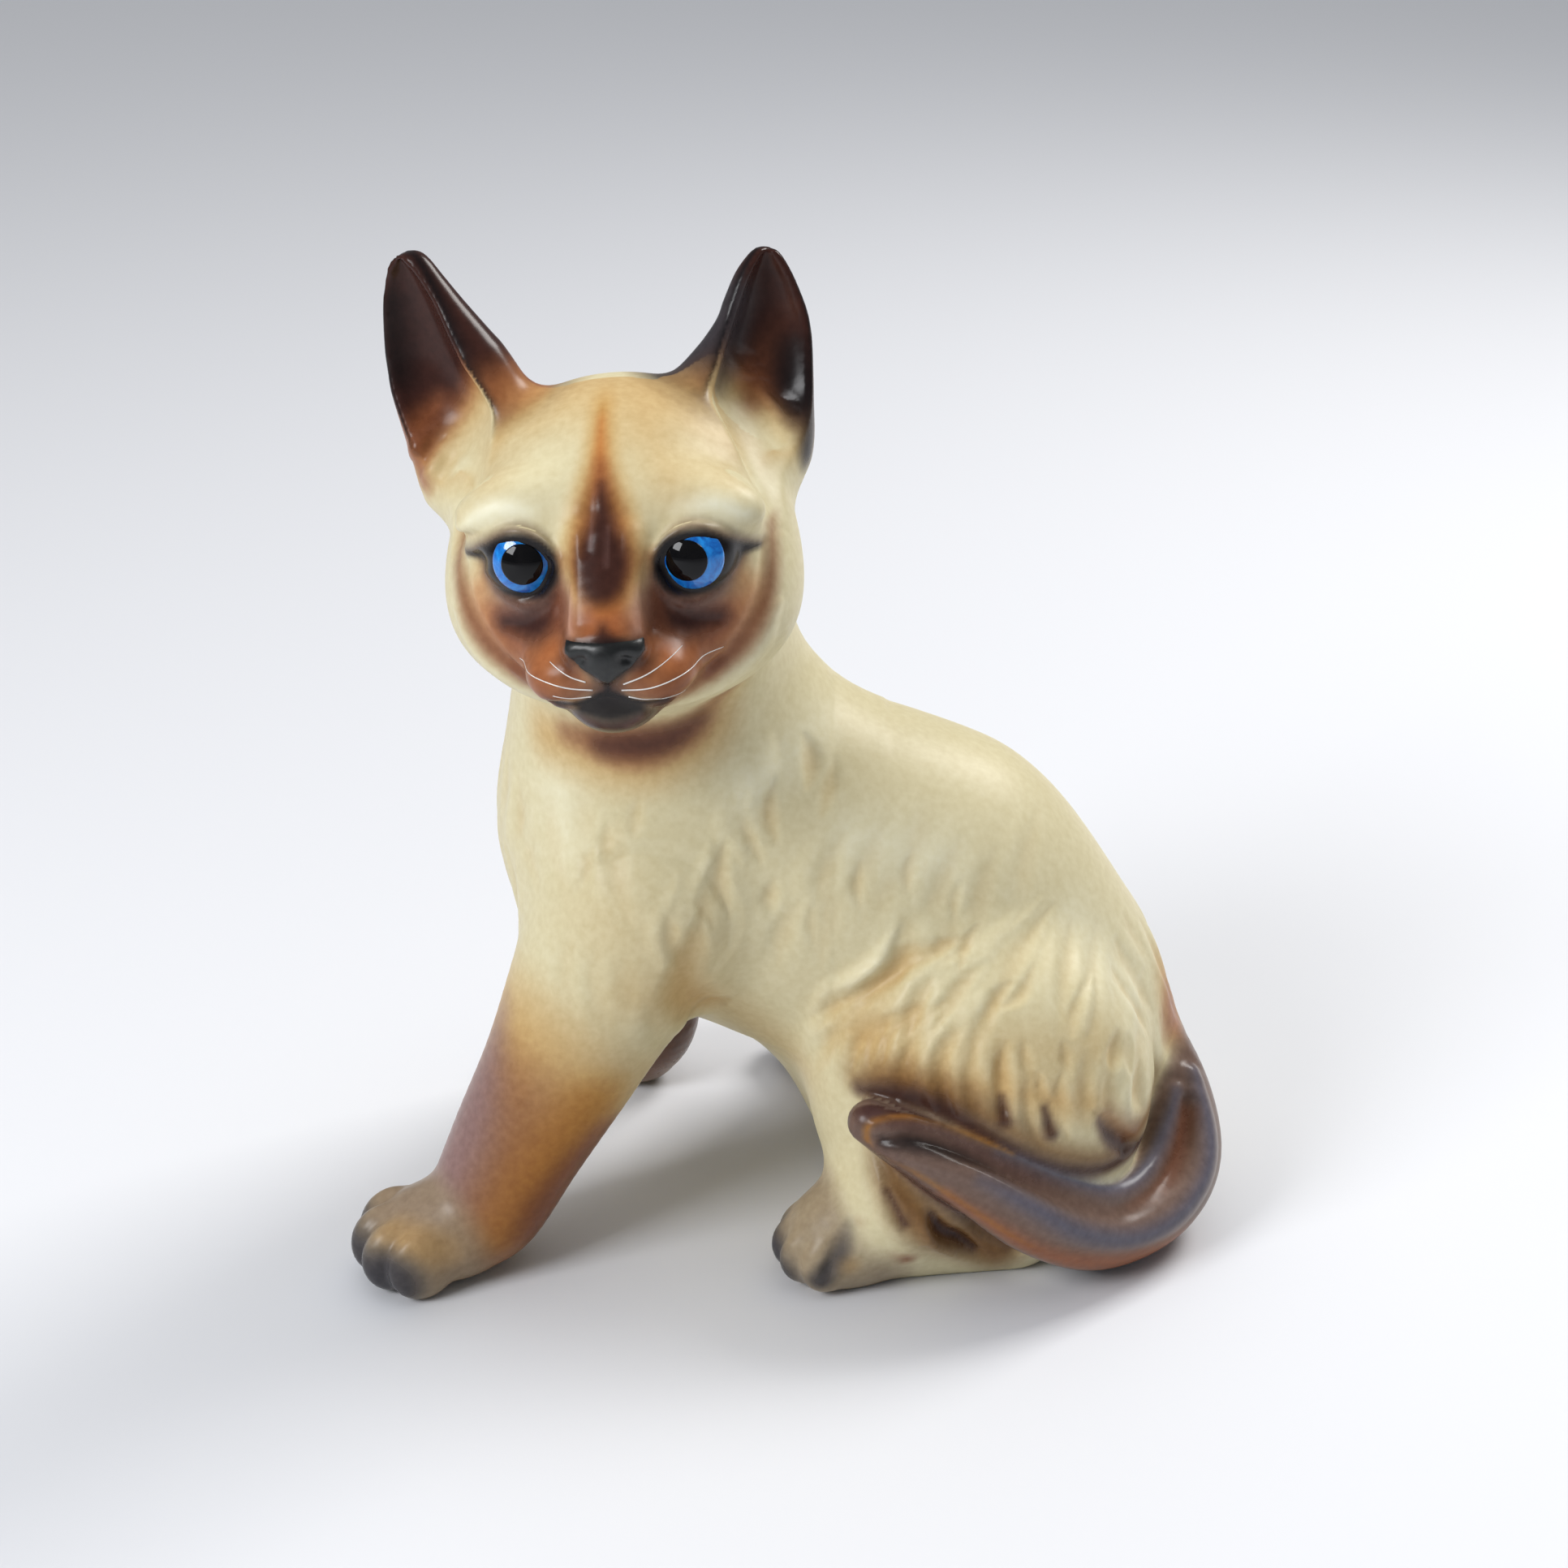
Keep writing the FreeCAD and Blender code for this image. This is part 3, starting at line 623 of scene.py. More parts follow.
# Strokes on the face: depth, rows of x, z, radius; these are mirrored.
FACE_RELIEF = [
    (-0.3, [(1.5, 14, 0.5), (1.7, 10, 1.4), (2, 6, 1)]),
    (-0.5, [(13, -9.5, 0.8), (10, -12, 1.5), (7, -14.2, 0.8)]),
    (0.5, [(20, -4, 1), (17.5, -9.5, 1.8), (12.5, -14, 1.8), (7.5, -16.6, 1)]),
    (-0.5, [(18.6, 4, 0.6), (18.2, -2, 1.5), (15.4, -7.4, 1.6), (12, -10.6, 0.8)]),
    (-0.4, [(7.6, -2, 0.8), (10, -4, 1.8), (13, -4.4, 0.9)]),
]


def emboss(skin):
    fur = FLANK_FUR + SHOULDER_FUR + [stroke for row in LOCKS for stroke in locks(*row)]
    for depth, rows in fur:
        for view in ("near", "far"):
            relieve(skin, view, depth, rows)
    for view, ends in END_LOCKS.items():
        for depth, rows in [stroke for row in ends for stroke in locks(*row)]:
            relieve(skin, view, depth, rows)
    for depth, rows in TAIL_RELIEF + TOE_RELIEF:
        relieve(skin, None, depth, rows)
    for depth, rows in FACE_RELIEF:
        relieve(skin, "face", depth, rows)
        relieve(skin, "face", depth, mirrored(rows))


# ------------------------ paint

def tint(red, green, blue):
    """A colour as a screen shows it, from 0 to 255, brought to 0 to 1."""
    return np.array((red, green, blue)) / 255


def linear(c):
    """What the shaders take for a colour that a screen shows."""
    return np.where(c <= 0.04045, c / 12.92, ((c + 0.055) / 1.055) ** 2.4)


CREAM = tint(218, 207, 168)
PALE = tint(244, 240, 212)
SAND = tint(206, 180, 130)
TAN = tint(192, 151, 92)
OCHRE = tint(176, 112, 34)
ORANGE = tint(190, 108, 56)
RUST = tint(148, 88, 54)
BROWN = tint(118, 66, 42)
MAUVE = tint(140, 112, 110)
SEAL = tint(54, 30, 26)
PLUM = tint(66, 40, 42)
RIDGE_SHEEN = tint(90, 96, 118)
UMBER = tint(104, 66, 30)
ROSE_HIGHLIGHT = tint(216, 164, 142)
ASH = tint(150, 132, 108)
CHARCOAL = tint(58, 56, 60)
BLACK = tint(20, 17, 19)

# Sprays on the face: colour, strength, softness, rows of x, z, radius. These are mirrored.
FACE_PAINT = [
    (TAN, 0.35, 7, [(15, 14, 2), (12, 19, 2)]),
    (RUST, 0.85, 6, [(3, -3, 3.5), (10, -5, 4.5), (14, -3, 2.5)]),
    (MAUVE, 0.5, 5, [(6, -1, 2), (12, -3, 2.5)]),
    (ORANGE, 0.4, 3.5, [(15.5, 1.5, 1.2), (17, -2, 1.6), (14, -7, 2.2), (9, -10, 2.2)]),
    (BROWN, 0.7, 2.4, [(19.4, 5.5, 0.2), (19.5, 1, 0.6), (18.6, -3.5, 0.9), (15.8, -8, 1.1),
        (11.5, -11.5, 1)]),
    (BROWN, 0.75, 2.8, [(12.5, -10.5, 0.6), (9.5, -13, 0.8), (6, -14.6, 0.4)]),
    (ORANGE, 0.55, 3.6, [(7, -5.6, 2), (8, -8, 1.5)]),
    (RUST, 0.85, 4, [(4.5, -8.5, 2.4), (7.5, -10.5, 2.6)]),
    (BROWN, 0.45, 5, [(13, -5, 2), (11, -9, 2.5)]),
    # dark under the eyes: brown paint, with painted shade in the hollows
    (SEAL, 0.95, 3.6, [(6.4, 0, 0.6), (7.4, -2.6, 1.2), (9.8, -3.8, 1.6), (13, -4, 1)]),
    # brown beside the bridge, with painted shade in the hollow there
    (BROWN, 0.75, 3, [(5.6, 4.5, 0.6), (5.9, 0, 1), (6.2, -3, 0.8)]),
    # painted highlights: pink strips along the bridge's edges
    (ROSE_HIGHLIGHT, 0.6, 1.8, [(3.9, 2, 0.2), (4, -3, 0.5)]),
    (BROWN, 0.7, 4, [(2, -9.6, 1.2), (5, -11.4, 1.2), (8.4, -12.2, 0.8)]),
    (SEAL, 0.6, 3, [(4.6, -4, 0.4), (4.4, -7, 1)]),
    (CREAM, 0.8, 2, [(20.4, -6, 0.5), (17.4, -11.4, 0.6), (12, -15.4, 0.6), (7, -17.6, 0.4)]),
    (SEAL, 0.75, 2.4, [(6.2, 4.6, 0.2), (8, 7, 0.3), (10.8, 8.2, 0.3), (14, 6.6, 0.5), (18.2, 3.8, 0.1)]),
    (SEAL, 0.75, 2.6, [(6.2, 2.4, 0.2), (8, -0.4, 0.4), (10.4, -1.4, 0.4), (13.8, 0, 0.6),
        (16.2, 3, 0.2)]),
    (BLACK, 0.97, 1.1, [(8.2, 3.3, 2.5), (10.4, 3.5, 4.2), (13.4, 3.7, 2.6)]),
    (BLACK, 0.95, 1.2, [(13.6, 4.8, 1.3), (16, 4, 0.8), (18.2, 3.6, 0.1)]),
    # pale on the brows: painted highlight on their bulge
    (PALE, 0.85, 2.4, [(9, 9.9, 0.7), (13, 10.2, 1.2), (16.8, 8.6, 0.7)]),
]

# The face's sprays reach no further back and no lower than this in the head's frame.
FACE_BACK, FACE_FLOOR = 2.0, -18.5

# Sprays down the middle of the face, not mirrored.
MIDDLE_PAINT = [
    (TAN, 0.65, 9, [(-9, 21, 2), (0, 22.5, 3.5), (9, 21, 2)]),
    # painted shade: one side of the forehead darker, as the light falls
    (TAN, 0.45, 9, [(5, 18, 3), (8, 13, 2.5)]),
    (RUST, 0.85, 2.8, [(0.1, 3, 2.6), (0.1, -2, 3)]),
    (ORANGE, 0.45, 3, [(0.1, 0, 1.6), (0.1, -2.5, 2)]),
    (OCHRE, 0.75, 4.5, [(-0.8, 20, 0.5), (-0.6, 14, 1.8), (-0.3, 9, 3.6), (0, 5, 4.6)]),
    (ORANGE, 0.6, 2.4, [(-0.8, 19, 0.2), (-0.6, 15, 0.8), (-0.4, 12, 1)]),
    (BROWN, 0.8, 3.6, [(-0.5, 14.5, 0.3), (-0.3, 10, 2.2), (0, 5, 3.8)]),
    (SEAL, 0.9, 2.6, [(-0.3, 12.5, 0.2), (-0.1, 8, 1.6), (0, 5, 3), (0, 3.2, 2.8)]),
    (MAUVE, 0.5, 1, [(-1.3, 10, 0.1), (-1.5, 6.5, 0.2)]),
    (MAUVE, 0.4, 1, [(0.6, 8.5, 0.1), (0.5, 4.5, 0.2)]),
    (SEAL, 0.85, 2.4, [(0.1, -2.2, 0.4), (0.2, -4.6, 2.8)]),
    (BLACK, 0.9, 1.6, [(-3, -4.8, 1.2), (3.3, -4.8, 1.2), (0.3, -7.6, 1.2), (-3, -4.8, 1.2)]),
    (SEAL, 0.85, 3, [(0.2, -8.4, 1.2), (0.1, -10.6, 1.8)]),
    (SEAL, 0.9, 2.4, [(-7, -12.4, 0.6), (-3.8, -15, 1.4), (0, -16.2, 1.8), (3.8, -15, 1.4),
        (7, -12.4, 0.6)]),
    (BLACK, 0.9, 1.8, [(-3.2, -13, 1), (0, -12.8, 1.8), (3.4, -13, 1)]),
    (BLACK, 0.9, 1, [(-6.5, -12.5, 0.1), (-3, -12, 0.4), (0.1, -10.8, 0.5), (3.2, -12, 0.4),
        (6.8, -12.4, 0.1)]),
    (BLACK, 0.8, 0.8, [(0.2, -8.6, 0.3), (0.1, -10.8, 0.4)]),
    # painted highlight on the chin
    (MAUVE, 0.5, 1.6, [(2, -15.6, 0.3), (3.6, -14.8, 0.3)]),
]

# Sprays on the flanks, seen from the side: colour, strength, softness, rows of x, z, radius.
FLANK_PAINT = [
    # painted shade: the belly and the armpit behind the foreleg sprayed darker
    (SAND, 0.6, 8, [(-22, 44, 3), (-14, 41, 3), (-6, 33, 3), (0, 28, 2)]),
    (SAND, 0.6, 8, [(12, 35, 2), (26, 38, 3), (40, 36, 3)]),
    (TAN, 0.6, 6, [(12, 33, 1), (26, 33, 2), (40, 29, 2)]),
    (SAND, 0.6, 9, [(8, 38, 4), (12, 41, 4)]),
    (TAN, 0.35, 8, [(9, 37, 2.5), (14, 34, 2.5)]),
    (SAND, 0.35, 14, [(-24, 54, 5), (-16, 48, 6)]),
    (ASH, 0.5, 5, [(12, 20, 1.5), (19, 13, 2), (27, 6, 1.5)]),
    # painted highlights on the shoulder, the flank, the chest and the rump, on both sides
    (PALE, 0.7, 9, [(-6, 71, 2.5), (1.9, 75, 2)]),
    (PALE, 0.6, 9, [(8, 63.5, 2.5), (20, 60, 2)]),
    (PALE, 0.5, 8, [(-31.5, 70, 2.5), (-31, 62, 1.5)]),
    (PALE, 0.5, 7, [(38, 50, 1.5), (47, 38, 1.5)]),
]

# Above and below the tail, on the near side only: brown, with painted shadow along the tail's edge and
# painted shade in the grooves.
TAIL_SHADE = [
    (UMBER, 0.8, 6, [(8.5, 31.5, 0.8), (14, 32.8, 2), (22, 31, 2.2), (29, 27, 1.5), (36, 22.5, 1.2),
        (43, 20, 1.2), (50, 23, 1)]),
    (BROWN, 0.5, 4, [(42.5, 27, 0.6), (46, 22, 1.6)]),
    (SEAL, 0.9, 3, [(8.8, 30.2, 0.6), (13, 30.8, 1.4), (19, 30, 1.5), (27, 25.4, 1.2), (35.4, 20.4, 1),
        (42, 18, 1), (48, 18.6, 1)]),
    (SEAL, 0.8, 2, [(27.6, 31.4, 0.3), (28, 28.4, 0.9)]),
    (SEAL, 0.8, 2, [(33.5, 29.6, 0.3), (34.4, 26, 0.9)]),
    (SEAL, 0.8, 2.4, [(41.2, 26.2, 0.3), (43.2, 22.8, 1), (45.6, 19.8, 0.8)]),
    (UMBER, 0.8, 6, [(11.5, 23.5, 0.8), (14.5, 17.5, 2.6), (20, 11, 3.2), (28, 5, 3)]),
    (SEAL, 0.75, 2.6, [(11.5, 23, 0.3), (15.5, 20.5, 0.8), (22, 15, 1), (30, 6.5, 0.8)]),
    (SEAL, 0.8, 1.8, [(12.5, 17.8, 0.2), (14.8, 13.4, 0.5)]),
    (SEAL, 0.95, 1.6, [(18.6, 14.8, 0.2), (20.8, 10.6, 0.8), (25, 5.6, 0.3)]),
]

# Sprays in the round: colour, strength, softness, rows of x, y, z, radius.
LIMB_PAINT = [
    # under the chin: painted shade where the head shades the throat
    (TAN, 0.8, 9, [(-32, -12, 77, 3), (-21, -17, 76, 4), (-12, -17, 79, 3), (-7, -18, 84, 2)]),
    (BROWN, 0.9, 5, [(-29, -14, 78.5, 1.5), (-21, -18, 78, 3), (-13, -18, 80.5, 1.8),
        (-8, -19, 86, 0.8)]),
    (SEAL, 0.55, 4, [(-25, -17, 77.5, 1.5), (-17, -18.5, 78.5, 1.6), (-12, -18.5, 81.5, 1)]),
    # the left foreleg
    (TAN, 0.85, 12, [(-35, -18, 30, 13), (-42, -21, 15, 16)]),
    (BROWN, 0.65, 9, [(-37, -19, 25, 10), (-40, -20, 18, 12), (-44, -22, 11, 14)]),
    (OCHRE, 0.65, 8, [(-27, -27, 27, 5), (-33, -30, 17, 6), (-39, -32, 9, 4)]),
    (BROWN, 0.7, 6, [(-27, -22, 20, 4), (-33, -25, 10, 6)]),
    (MAUVE, 0.9, 8, [(-43, -19, 38, 3), (-48, -23, 27, 8), (-53, -25, 17, 9)]),
    (ASH, 0.85, 5, [(-54, -27, 5, 12)]),
    (TAN, 0.5, 4, [(-55, -30, 11, 2.5), (-47, -33, 8, 2.5)]),
    (CHARCOAL, 0.9, 5, [(-62, -21, 5, 4.6), (-60, -29, 3, 5.2)]),
    (CHARCOAL, 0.9, 4.5, [(-55.5, -33.5, 4, 4.6)]),
    (CHARCOAL, 0.7, 2.6, [(-45, -32, 4, 0.8)]),
    # the right foreleg
    (BROWN, 0.75, 9, [(-22, 23, 27, 9), (-23, 26, 14, 12)]),
    (SEAL, 0.6, 9, [(-20, 24, 18, 8), (-24, 28, 6, 9)]),
    (ASH, 0.85, 5, [(-33, 31, 6, 11)]),
    (TAN, 0.6, 5, [(-30, 30, 12, 4)]),
    (CHARCOAL, 0.9, 5, [(-42, 28, 4, 4.5), (-39, 37, 4, 4.5)]),
    # the hind paws
    (ASH, 0.85, 5, [(2, -26, 6, 10.5), (9, -26, 4, 7)]),
    (ASH, 0.85, 5, [(2, 32, 6, 10.5), (9, 32, 4, 7)]),
    (CHARCOAL, 0.95, 5, [(-4.5, -23, 5, 4), (-2.5, -31, 2, 3)]),
    (CHARCOAL, 0.95, 5, [(-4.5, 29, 5, 4), (-2.5, 37, 2, 3)]),
    # painted shade in the grooves between the near hind paw's toes
    (CHARCOAL, 0.85, 2.6, [(3.5, -31.8, 4, 1.6), (6, -31.2, 7.5, 1.2), (7.8, -29.8, 12, 0.6)]),
    (BROWN, 0.8, 2.4, [(9.4, -30, 12.7, 0.8), (15.3, -30.5, 6.8, 1)]),
    (TAN, 0.6, 3, [(7.5, -33, 6, 1.5)]),
    # the rump above the tail
    (TAN, 0.8, 8, [(53, 0, 32, 5), (52, 8, 26, 5)]),
    (RUST, 0.8, 6, [(53, -1, 28, 4.5)]),
]

# Sprays along the tail, after its brown: colour, strength, softness, rows of x, y, z, radius.
TAIL_PAINT = [
    (BROWN, 0.6, 3, [(46, -25, 11, 0.8), (52, -19.5, 12, 1.2), (56, -12, 18.5, 1.2)]),
    # painted sheen: bluish highlights along both ridges of the tail
    (RIDGE_SHEEN, 0.7, 3, [(24.6, -34.6, 22, 0.6), (31.4, -34.8, 18, 1), (38.4, -33.2, 12.7, 1.1),
        (45.9, -28.8, 8.6, 1.1), (52.6, -23.8, 8.4, 1.1), (57.3, -18.2, 11.3, 1), (58.4, -13, 15.9, 1),
        (56.8, -7, 21.9, 0.6)]),
    (RIDGE_SHEEN, 0.7, 2.8, [(27.4, -30.8, 24.3, 0.6), (36.3, -29, 18.6, 1), (42.6, -25.9, 14.4, 1),
        (47.9, -21.2, 13.4, 1), (52, -14.7, 15.9, 0.9), (54.2, -10.1, 20.6, 0.5)]),
    (RUST, 0.85, 3.6, [(20, -35.8, 19.5, 1), (27, -36, 14, 1.8), (34, -34.8, 8.4, 2.6),
        (43.6, -30.4, 3.6, 3.4), (51, -25, 2, 3.4), (57, -17, 2, 3)]),
    (OCHRE, 0.9, 1.6, [(9.4, -32.4, 26.6, 0.2), (10.2, -31.6, 29, 0.2), (16.2, -30.9, 29.3, 0.3),
        (22.5, -30.8, 27, 0.3), (29, -30.6, 23.6, 0.1)]),
    (OCHRE, 0.9, 1.6, [(9.4, -32.4, 26.6, 0.2), (11.2, -33.8, 24.8, 0.2), (16, -35, 22.8, 0.3),
        (22, -35.8, 18.8, 0.3), (29, -35.6, 13.2, 0.3), (35, -34.6, 8.4, 0.2)]),
    # painted shade: black along the gutter near the tip
    (BLACK, 0.85, 2.2, [(11.6, -33, 26.9, 0.6), (16.1, -33.4, 27, 1.1), (22.4, -33.2, 24.6, 0.9),
        (29, -33, 20.6, 0.3)]),
]


# Bands up each ear: colour, strength, height of the edge in the cup and on the back, the edge's
# slant across the cup, softness.
EAR_BANDS = [(TAN, 0.75, 3.0, -1.0, 0.6, 8.0), (RUST, 0.9, 6.0, 3.0, 0.7, 6.0),
             (SEAL, 0.95, 8.0, 10.0, 0.8, 6.0)]
EAR_GLOW = {
    "left": [(RUST, 0.6, 4, [(-1.5, -2, 131, 1.5), (-4.5, -3, 124, 2), (-6, -4, 119, 1)]),
             (BLACK, 0.85, 4, [(-0.5, -2, 126, 2), (0.5, -3, 120, 2.5), (1.5, -6, 114, 2)]),
             (CHARCOAL, 0.9, 5, [(-8, -2, 133, 3), (-11, -4, 127, 4), (-14.5, -6, 122.5, 3.5)])],
    "right": [(RUST, 0.8, 4, [(-45.5, -4, 120, 1), (-48.6, -6, 116, 2), (-47.6, -8, 111, 1.5)]),
              (BLACK, 0.7, 5, [(-51, -4, 132, 2), (-50.5, -4, 124, 2)])],
}


def paint_skin(skin):
    """The colour at every point, sprayed from the palest to the darkest."""
    paint = np.tile(CREAM, (len(skin.points), 1))
    for row in FLANK_PAINT:
        for view in ("near", "far"):
            spray(skin, paint, view, *row)
    # tan in the pressed-in grooves: airbrush that settled there, and painted shade in them
    paint = tinted(paint, TAN, 0.5 * rise(-skin.dent, 0, 1.2))
    # pale on the raised ridges: painted highlight
    paint = tinted(paint, PALE, 0.4 * rise(skin.dent, 0, 0.9))
    for row in TAIL_SHADE:
        spray(skin, paint, "near", *row)
    for row in LIMB_PAINT:
        spray(skin, paint, None, *row)
    paint_tail(skin, paint)
    paint_ears(skin, paint)
    face = paint.copy()
    for colour, strength, soft, rows in FACE_PAINT:
        spray(skin, face, "face", colour, strength, soft, rows)
        spray(skin, face, "face", colour, strength, soft, mirrored(rows))
    for row in MIDDLE_PAINT:
        spray(skin, face, "face", *row)
    local = HEAD.into(skin.points)
    in_face = (local[:, 1] < FACE_BACK) & (local[:, 2] > FACE_FLOOR)
    paint[in_face] = face[in_face]
    return paint


# Where the brown fades into the rump: from this height up, over this much, behind this X.
ROOT_LOW, ROOT_FADE, ROOT_FRONT = 24, 8, 40


def paint_tail(skin, paint):
    """The tail's brown ends where its own shape does."""
    distance = limb(TAIL, steps=8)[2](skin.points)
    x, _, z = skin.points.T
    root = rise(z, ROOT_LOW, ROOT_FADE) * (x > ROOT_FRONT)
    cover = 0.98 * np.clip(0.7 - distance, 0, 1) * (1 - root)
    paint[:] = tinted(paint, PLUM, cover)
    for row in TAIL_PAINT:
        spray(skin, paint, None, *row)


def paint_ears(skin, paint):
    """Each ear's dark point: in the cup it reaches down to a line that slants out over the cheek."""
    for name, ear in EARS.items():
        place = ear_place(ear)
        q = place.into(skin.points)
        inward = q[:, 0] * (1 if name == "right" else -1)
        beside = 1 - rise(np.hypot(q[:, 0], q[:, 1]), 10, 8)
        around = beside * rise(q[:, 2], -9, 8)
        out = q[:, :2] - (0, -5)
        out = ((skin.normals @ place.axes)[:, :2] * out).sum(1) / np.linalg.norm(out, axis=1)
        back = rise(out, -0.3125, 0.625)
        for colour, strength, edge, edge_behind, slant, soft in EAR_BANDS:
            line = (edge + slant * inward) * (1 - back) + edge_behind * back
            cover = strength * eased(rise(q[:, 2], line - soft / 2, soft)) * around
            paint[:] = tinted(paint, colour, cover)
        for colour, strength, soft, rows in EAR_GLOW[name]:
            spray(skin, paint, None, colour, strength, soft, rows)
        rim = (1 - rise(np.abs(out), 0, 0.45)) * rise(q[:, 2], 2, 4) * around
        paint[:] = tinted(paint, BLACK, 0.85 * rim)


# ------------------------ meshes

def bmesh_of(points, faces, paint):
    """A mesh to cut, with its paint on the points."""
    mesh = bpy.data.meshes.new("uncut")
    mesh.from_pydata((points * MM).tolist(), [], faces.tolist())
    layer = mesh.attributes.new("paint", "FLOAT_COLOR", "POINT")
    layer.data.foreach_set("color", np.hstack([linear(paint), np.ones((len(paint), 1))]).ravel())
    bm = bmesh.new()
    bm.from_mesh(mesh)
    bpy.data.meshes.remove(mesh)
    return bm


def object_of(name, bm, finish):
    """A smooth object of a mesh, in a material."""
    mesh = bpy.data.meshes.new(name)
    bm.to_mesh(mesh)
    bm.free()
    mesh.polygons.foreach_set("use_smooth", np.ones(len(mesh.polygons), bool))
    mesh.materials.append(finish)
    obj = bpy.data.objects.new(name, mesh)
    bpy.context.scene.collection.objects.link(obj)
    return obj


def cut(bm, at, normal, keep, ball=None):
    """Cut at a plane and cap it, and keep or drop what lies beyond the plane, in a ball if one is given."""
    at, normal = Vector(at) * MM, Vector(normal)
    middle, radius = (Vector(ball[0]) * MM, ball[1] * MM) if ball else (at, math.inf)
    inside_ball = [f for f in bm.faces if (f.calc_center_median() - middle).length < radius]
    heights = {v: (v.co - at).dot(normal) for f in inside_ball for v in f.verts}
    crossed = [f for f in inside_ball
               if min(heights[v] for v in f.verts) < 0 < max(heights[v] for v in f.verts)]
    crossed = bmesh.ops.triangulate(bm, faces=crossed)["faces"]
    around = list({v for f in crossed for v in f.verts}) + list({e for f in crossed for e in f.edges})
    bmesh.ops.bisect_plane(bm, geom=around + crossed, plane_co=at, plane_no=normal)
    drop = []
    for face in bm.faces:
        centre = face.calc_center_median()
        beyond = (centre - at).dot(normal) > 0 and (centre - middle).length < radius
        if beyond != keep:
            drop.append(face)
    bmesh.ops.delete(bm, geom=drop, context="FACES")
    rim = [e for e in bm.edges if e.is_boundary]
    for edge in rim:
        edge.smooth = False
    bmesh.ops.holes_fill(bm, edges=rim, sides=0)


def leg_seat(side):
    """Where a foreleg's casting meets the shoulder: a point, the way down the leg, a ball round it."""
    if side == "left":
        down = np.subtract((-37.5, -18.5, 18.5), (-26.5, -13, 39))
        return np.array((-30.9, -15.4, 30.6)), unit(down), ((-43, -21, 15), 30)
    down = np.subtract((-23, 26, 16), (-21.5, 20, 38))
    return np.array((-22.3, 23, 29)), unit(down), ((-31, 29, 14), 25.5)


# ------------------------ materials

def node(tree, kind, inputs=None, **settings):
    """A shader node with its settings; inputs are numbers or other nodes' sockets."""
    made = tree.nodes.new(kind)
    for name, value in settings.items():
        setattr(made, name, value)
    for name, value in (inputs or {}).items():
        if isinstance(value, bpy.types.NodeSocket):
            tree.links.new(value, made.inputs[name])
        else:
            made.inputs[name].default_value = value
    return made


def material(name):
    made = bpy.data.materials.new(name)
    made.use_nodes = True
    return made, made.node_tree, made.node_tree.nodes["Principled BSDF"]


def ramp(tree, value, low, high, first=0.0, last=1.0):
    """A value taken from one range to another."""
    made = node(tree, "ShaderNodeMapRange", {"Value": value, "From Min": low, "From Max": high,
                                             "To Min": first, "To Max": last})
    return made.outputs["Result"]


def painted_bisque():
    """Fired clay under airbrushed stains and painted shade and highlights, with dust specks, a satin skin
    and a fine tooth.
    """
    made, tree, shader = material("painted_bisque")
    paint = node(tree, "ShaderNodeAttribute", attribute_name="paint")
    place = node(tree, "ShaderNodeTexCoord").outputs["Object"]
    mist = node(tree, "ShaderNodeTexNoise", {"Vector": place, "Scale": 900.0, "Detail": 3.0})
    cloud = node(tree, "ShaderNodeTexNoise", {"Vector": place, "Scale": 90.0, "Detail": 2.0})
    shade = node(tree, "ShaderNodeMix", {"Factor": 0.35}, data_type="RGBA", blend_type="SOFT_LIGHT")
    tree.links.new(paint.outputs["Color"], shade.inputs[6])
    tree.links.new(mist.outputs["Fac"], shade.inputs[7])
    grey = node(tree, "ShaderNodeRGBToBW", {"Color": shade.outputs[2]})
    tree.links.new(shade.outputs[2], shader.inputs["Base Color"])
    tree.links.new(ramp(tree, grey.outputs["Val"], 0.02, 0.45, 0.25, 0.40), shader.inputs["Roughness"])
    shader.inputs["Specular IOR Level"].default_value = 0.22
    tooth = node(tree, "ShaderNodeBump", {"Height": mist.outputs["Fac"], "Strength": 0.12,
                                          "Distance": 0.0001})
    swell = node(tree, "ShaderNodeBump", {"Height": cloud.outputs["Fac"], "Strength": 0.15,
                                          "Distance": 0.0006, "Normal": tooth.outputs["Normal"]})
    tree.links.new(swell.outputs["Normal"], shader.inputs["Normal"])
    return made


def enamel(name, first, second, scale, roughness=0.08, ripple=0.2, coat=0.5, shine=0.5):
    """A glossy overglaze laid on in strokes of two close colours."""
    made, tree, shader = material(name)
    place = node(tree, "ShaderNodeTexCoord").outputs["Object"]
    streak = node(tree, "ShaderNodeTexNoise", {"Vector": place, "Scale": scale, "Detail": 4.0,
                                               "Distortion": 1.5})
    colour = node(tree, "ShaderNodeValToRGB", {"Fac": streak.outputs["Fac"]})
    colour.color_ramp.elements[0].position = 0.35
    colour.color_ramp.elements[1].position = 0.65
    colour.color_ramp.elements[0].color = (*linear(first), 1)
    colour.color_ramp.elements[1].color = (*linear(second), 1)
    tree.links.new(colour.outputs["Color"], shader.inputs["Base Color"])
    shader.inputs["Roughness"].default_value = roughness
    shader.inputs["Specular IOR Level"].default_value = shine
    shader.inputs["Coat Weight"].default_value = coat
    shader.inputs["Coat Roughness"].default_value = 0.04
    wave = node(tree, "ShaderNodeBump", {"Height": streak.outputs["Fac"], "Strength": ripple,
                                         "Distance": 0.0002})
    tree.links.new(wave.outputs["Normal"], shader.inputs["Normal"])
    return made


# ------------------------ enamel details

def add_rings(bm, rings):
    """Join rings of points into a band of quads, and return each ring's vertices."""
    rows = [[bm.verts.new(p * MM) for p in ring] for ring in rings]
    for inner, outer in zip(rows, rows[1:]):
        for i in range(len(inner)):
            bm.faces.new((inner[i - 1], outer[i - 1], outer[i], inner[i]))
    return rows


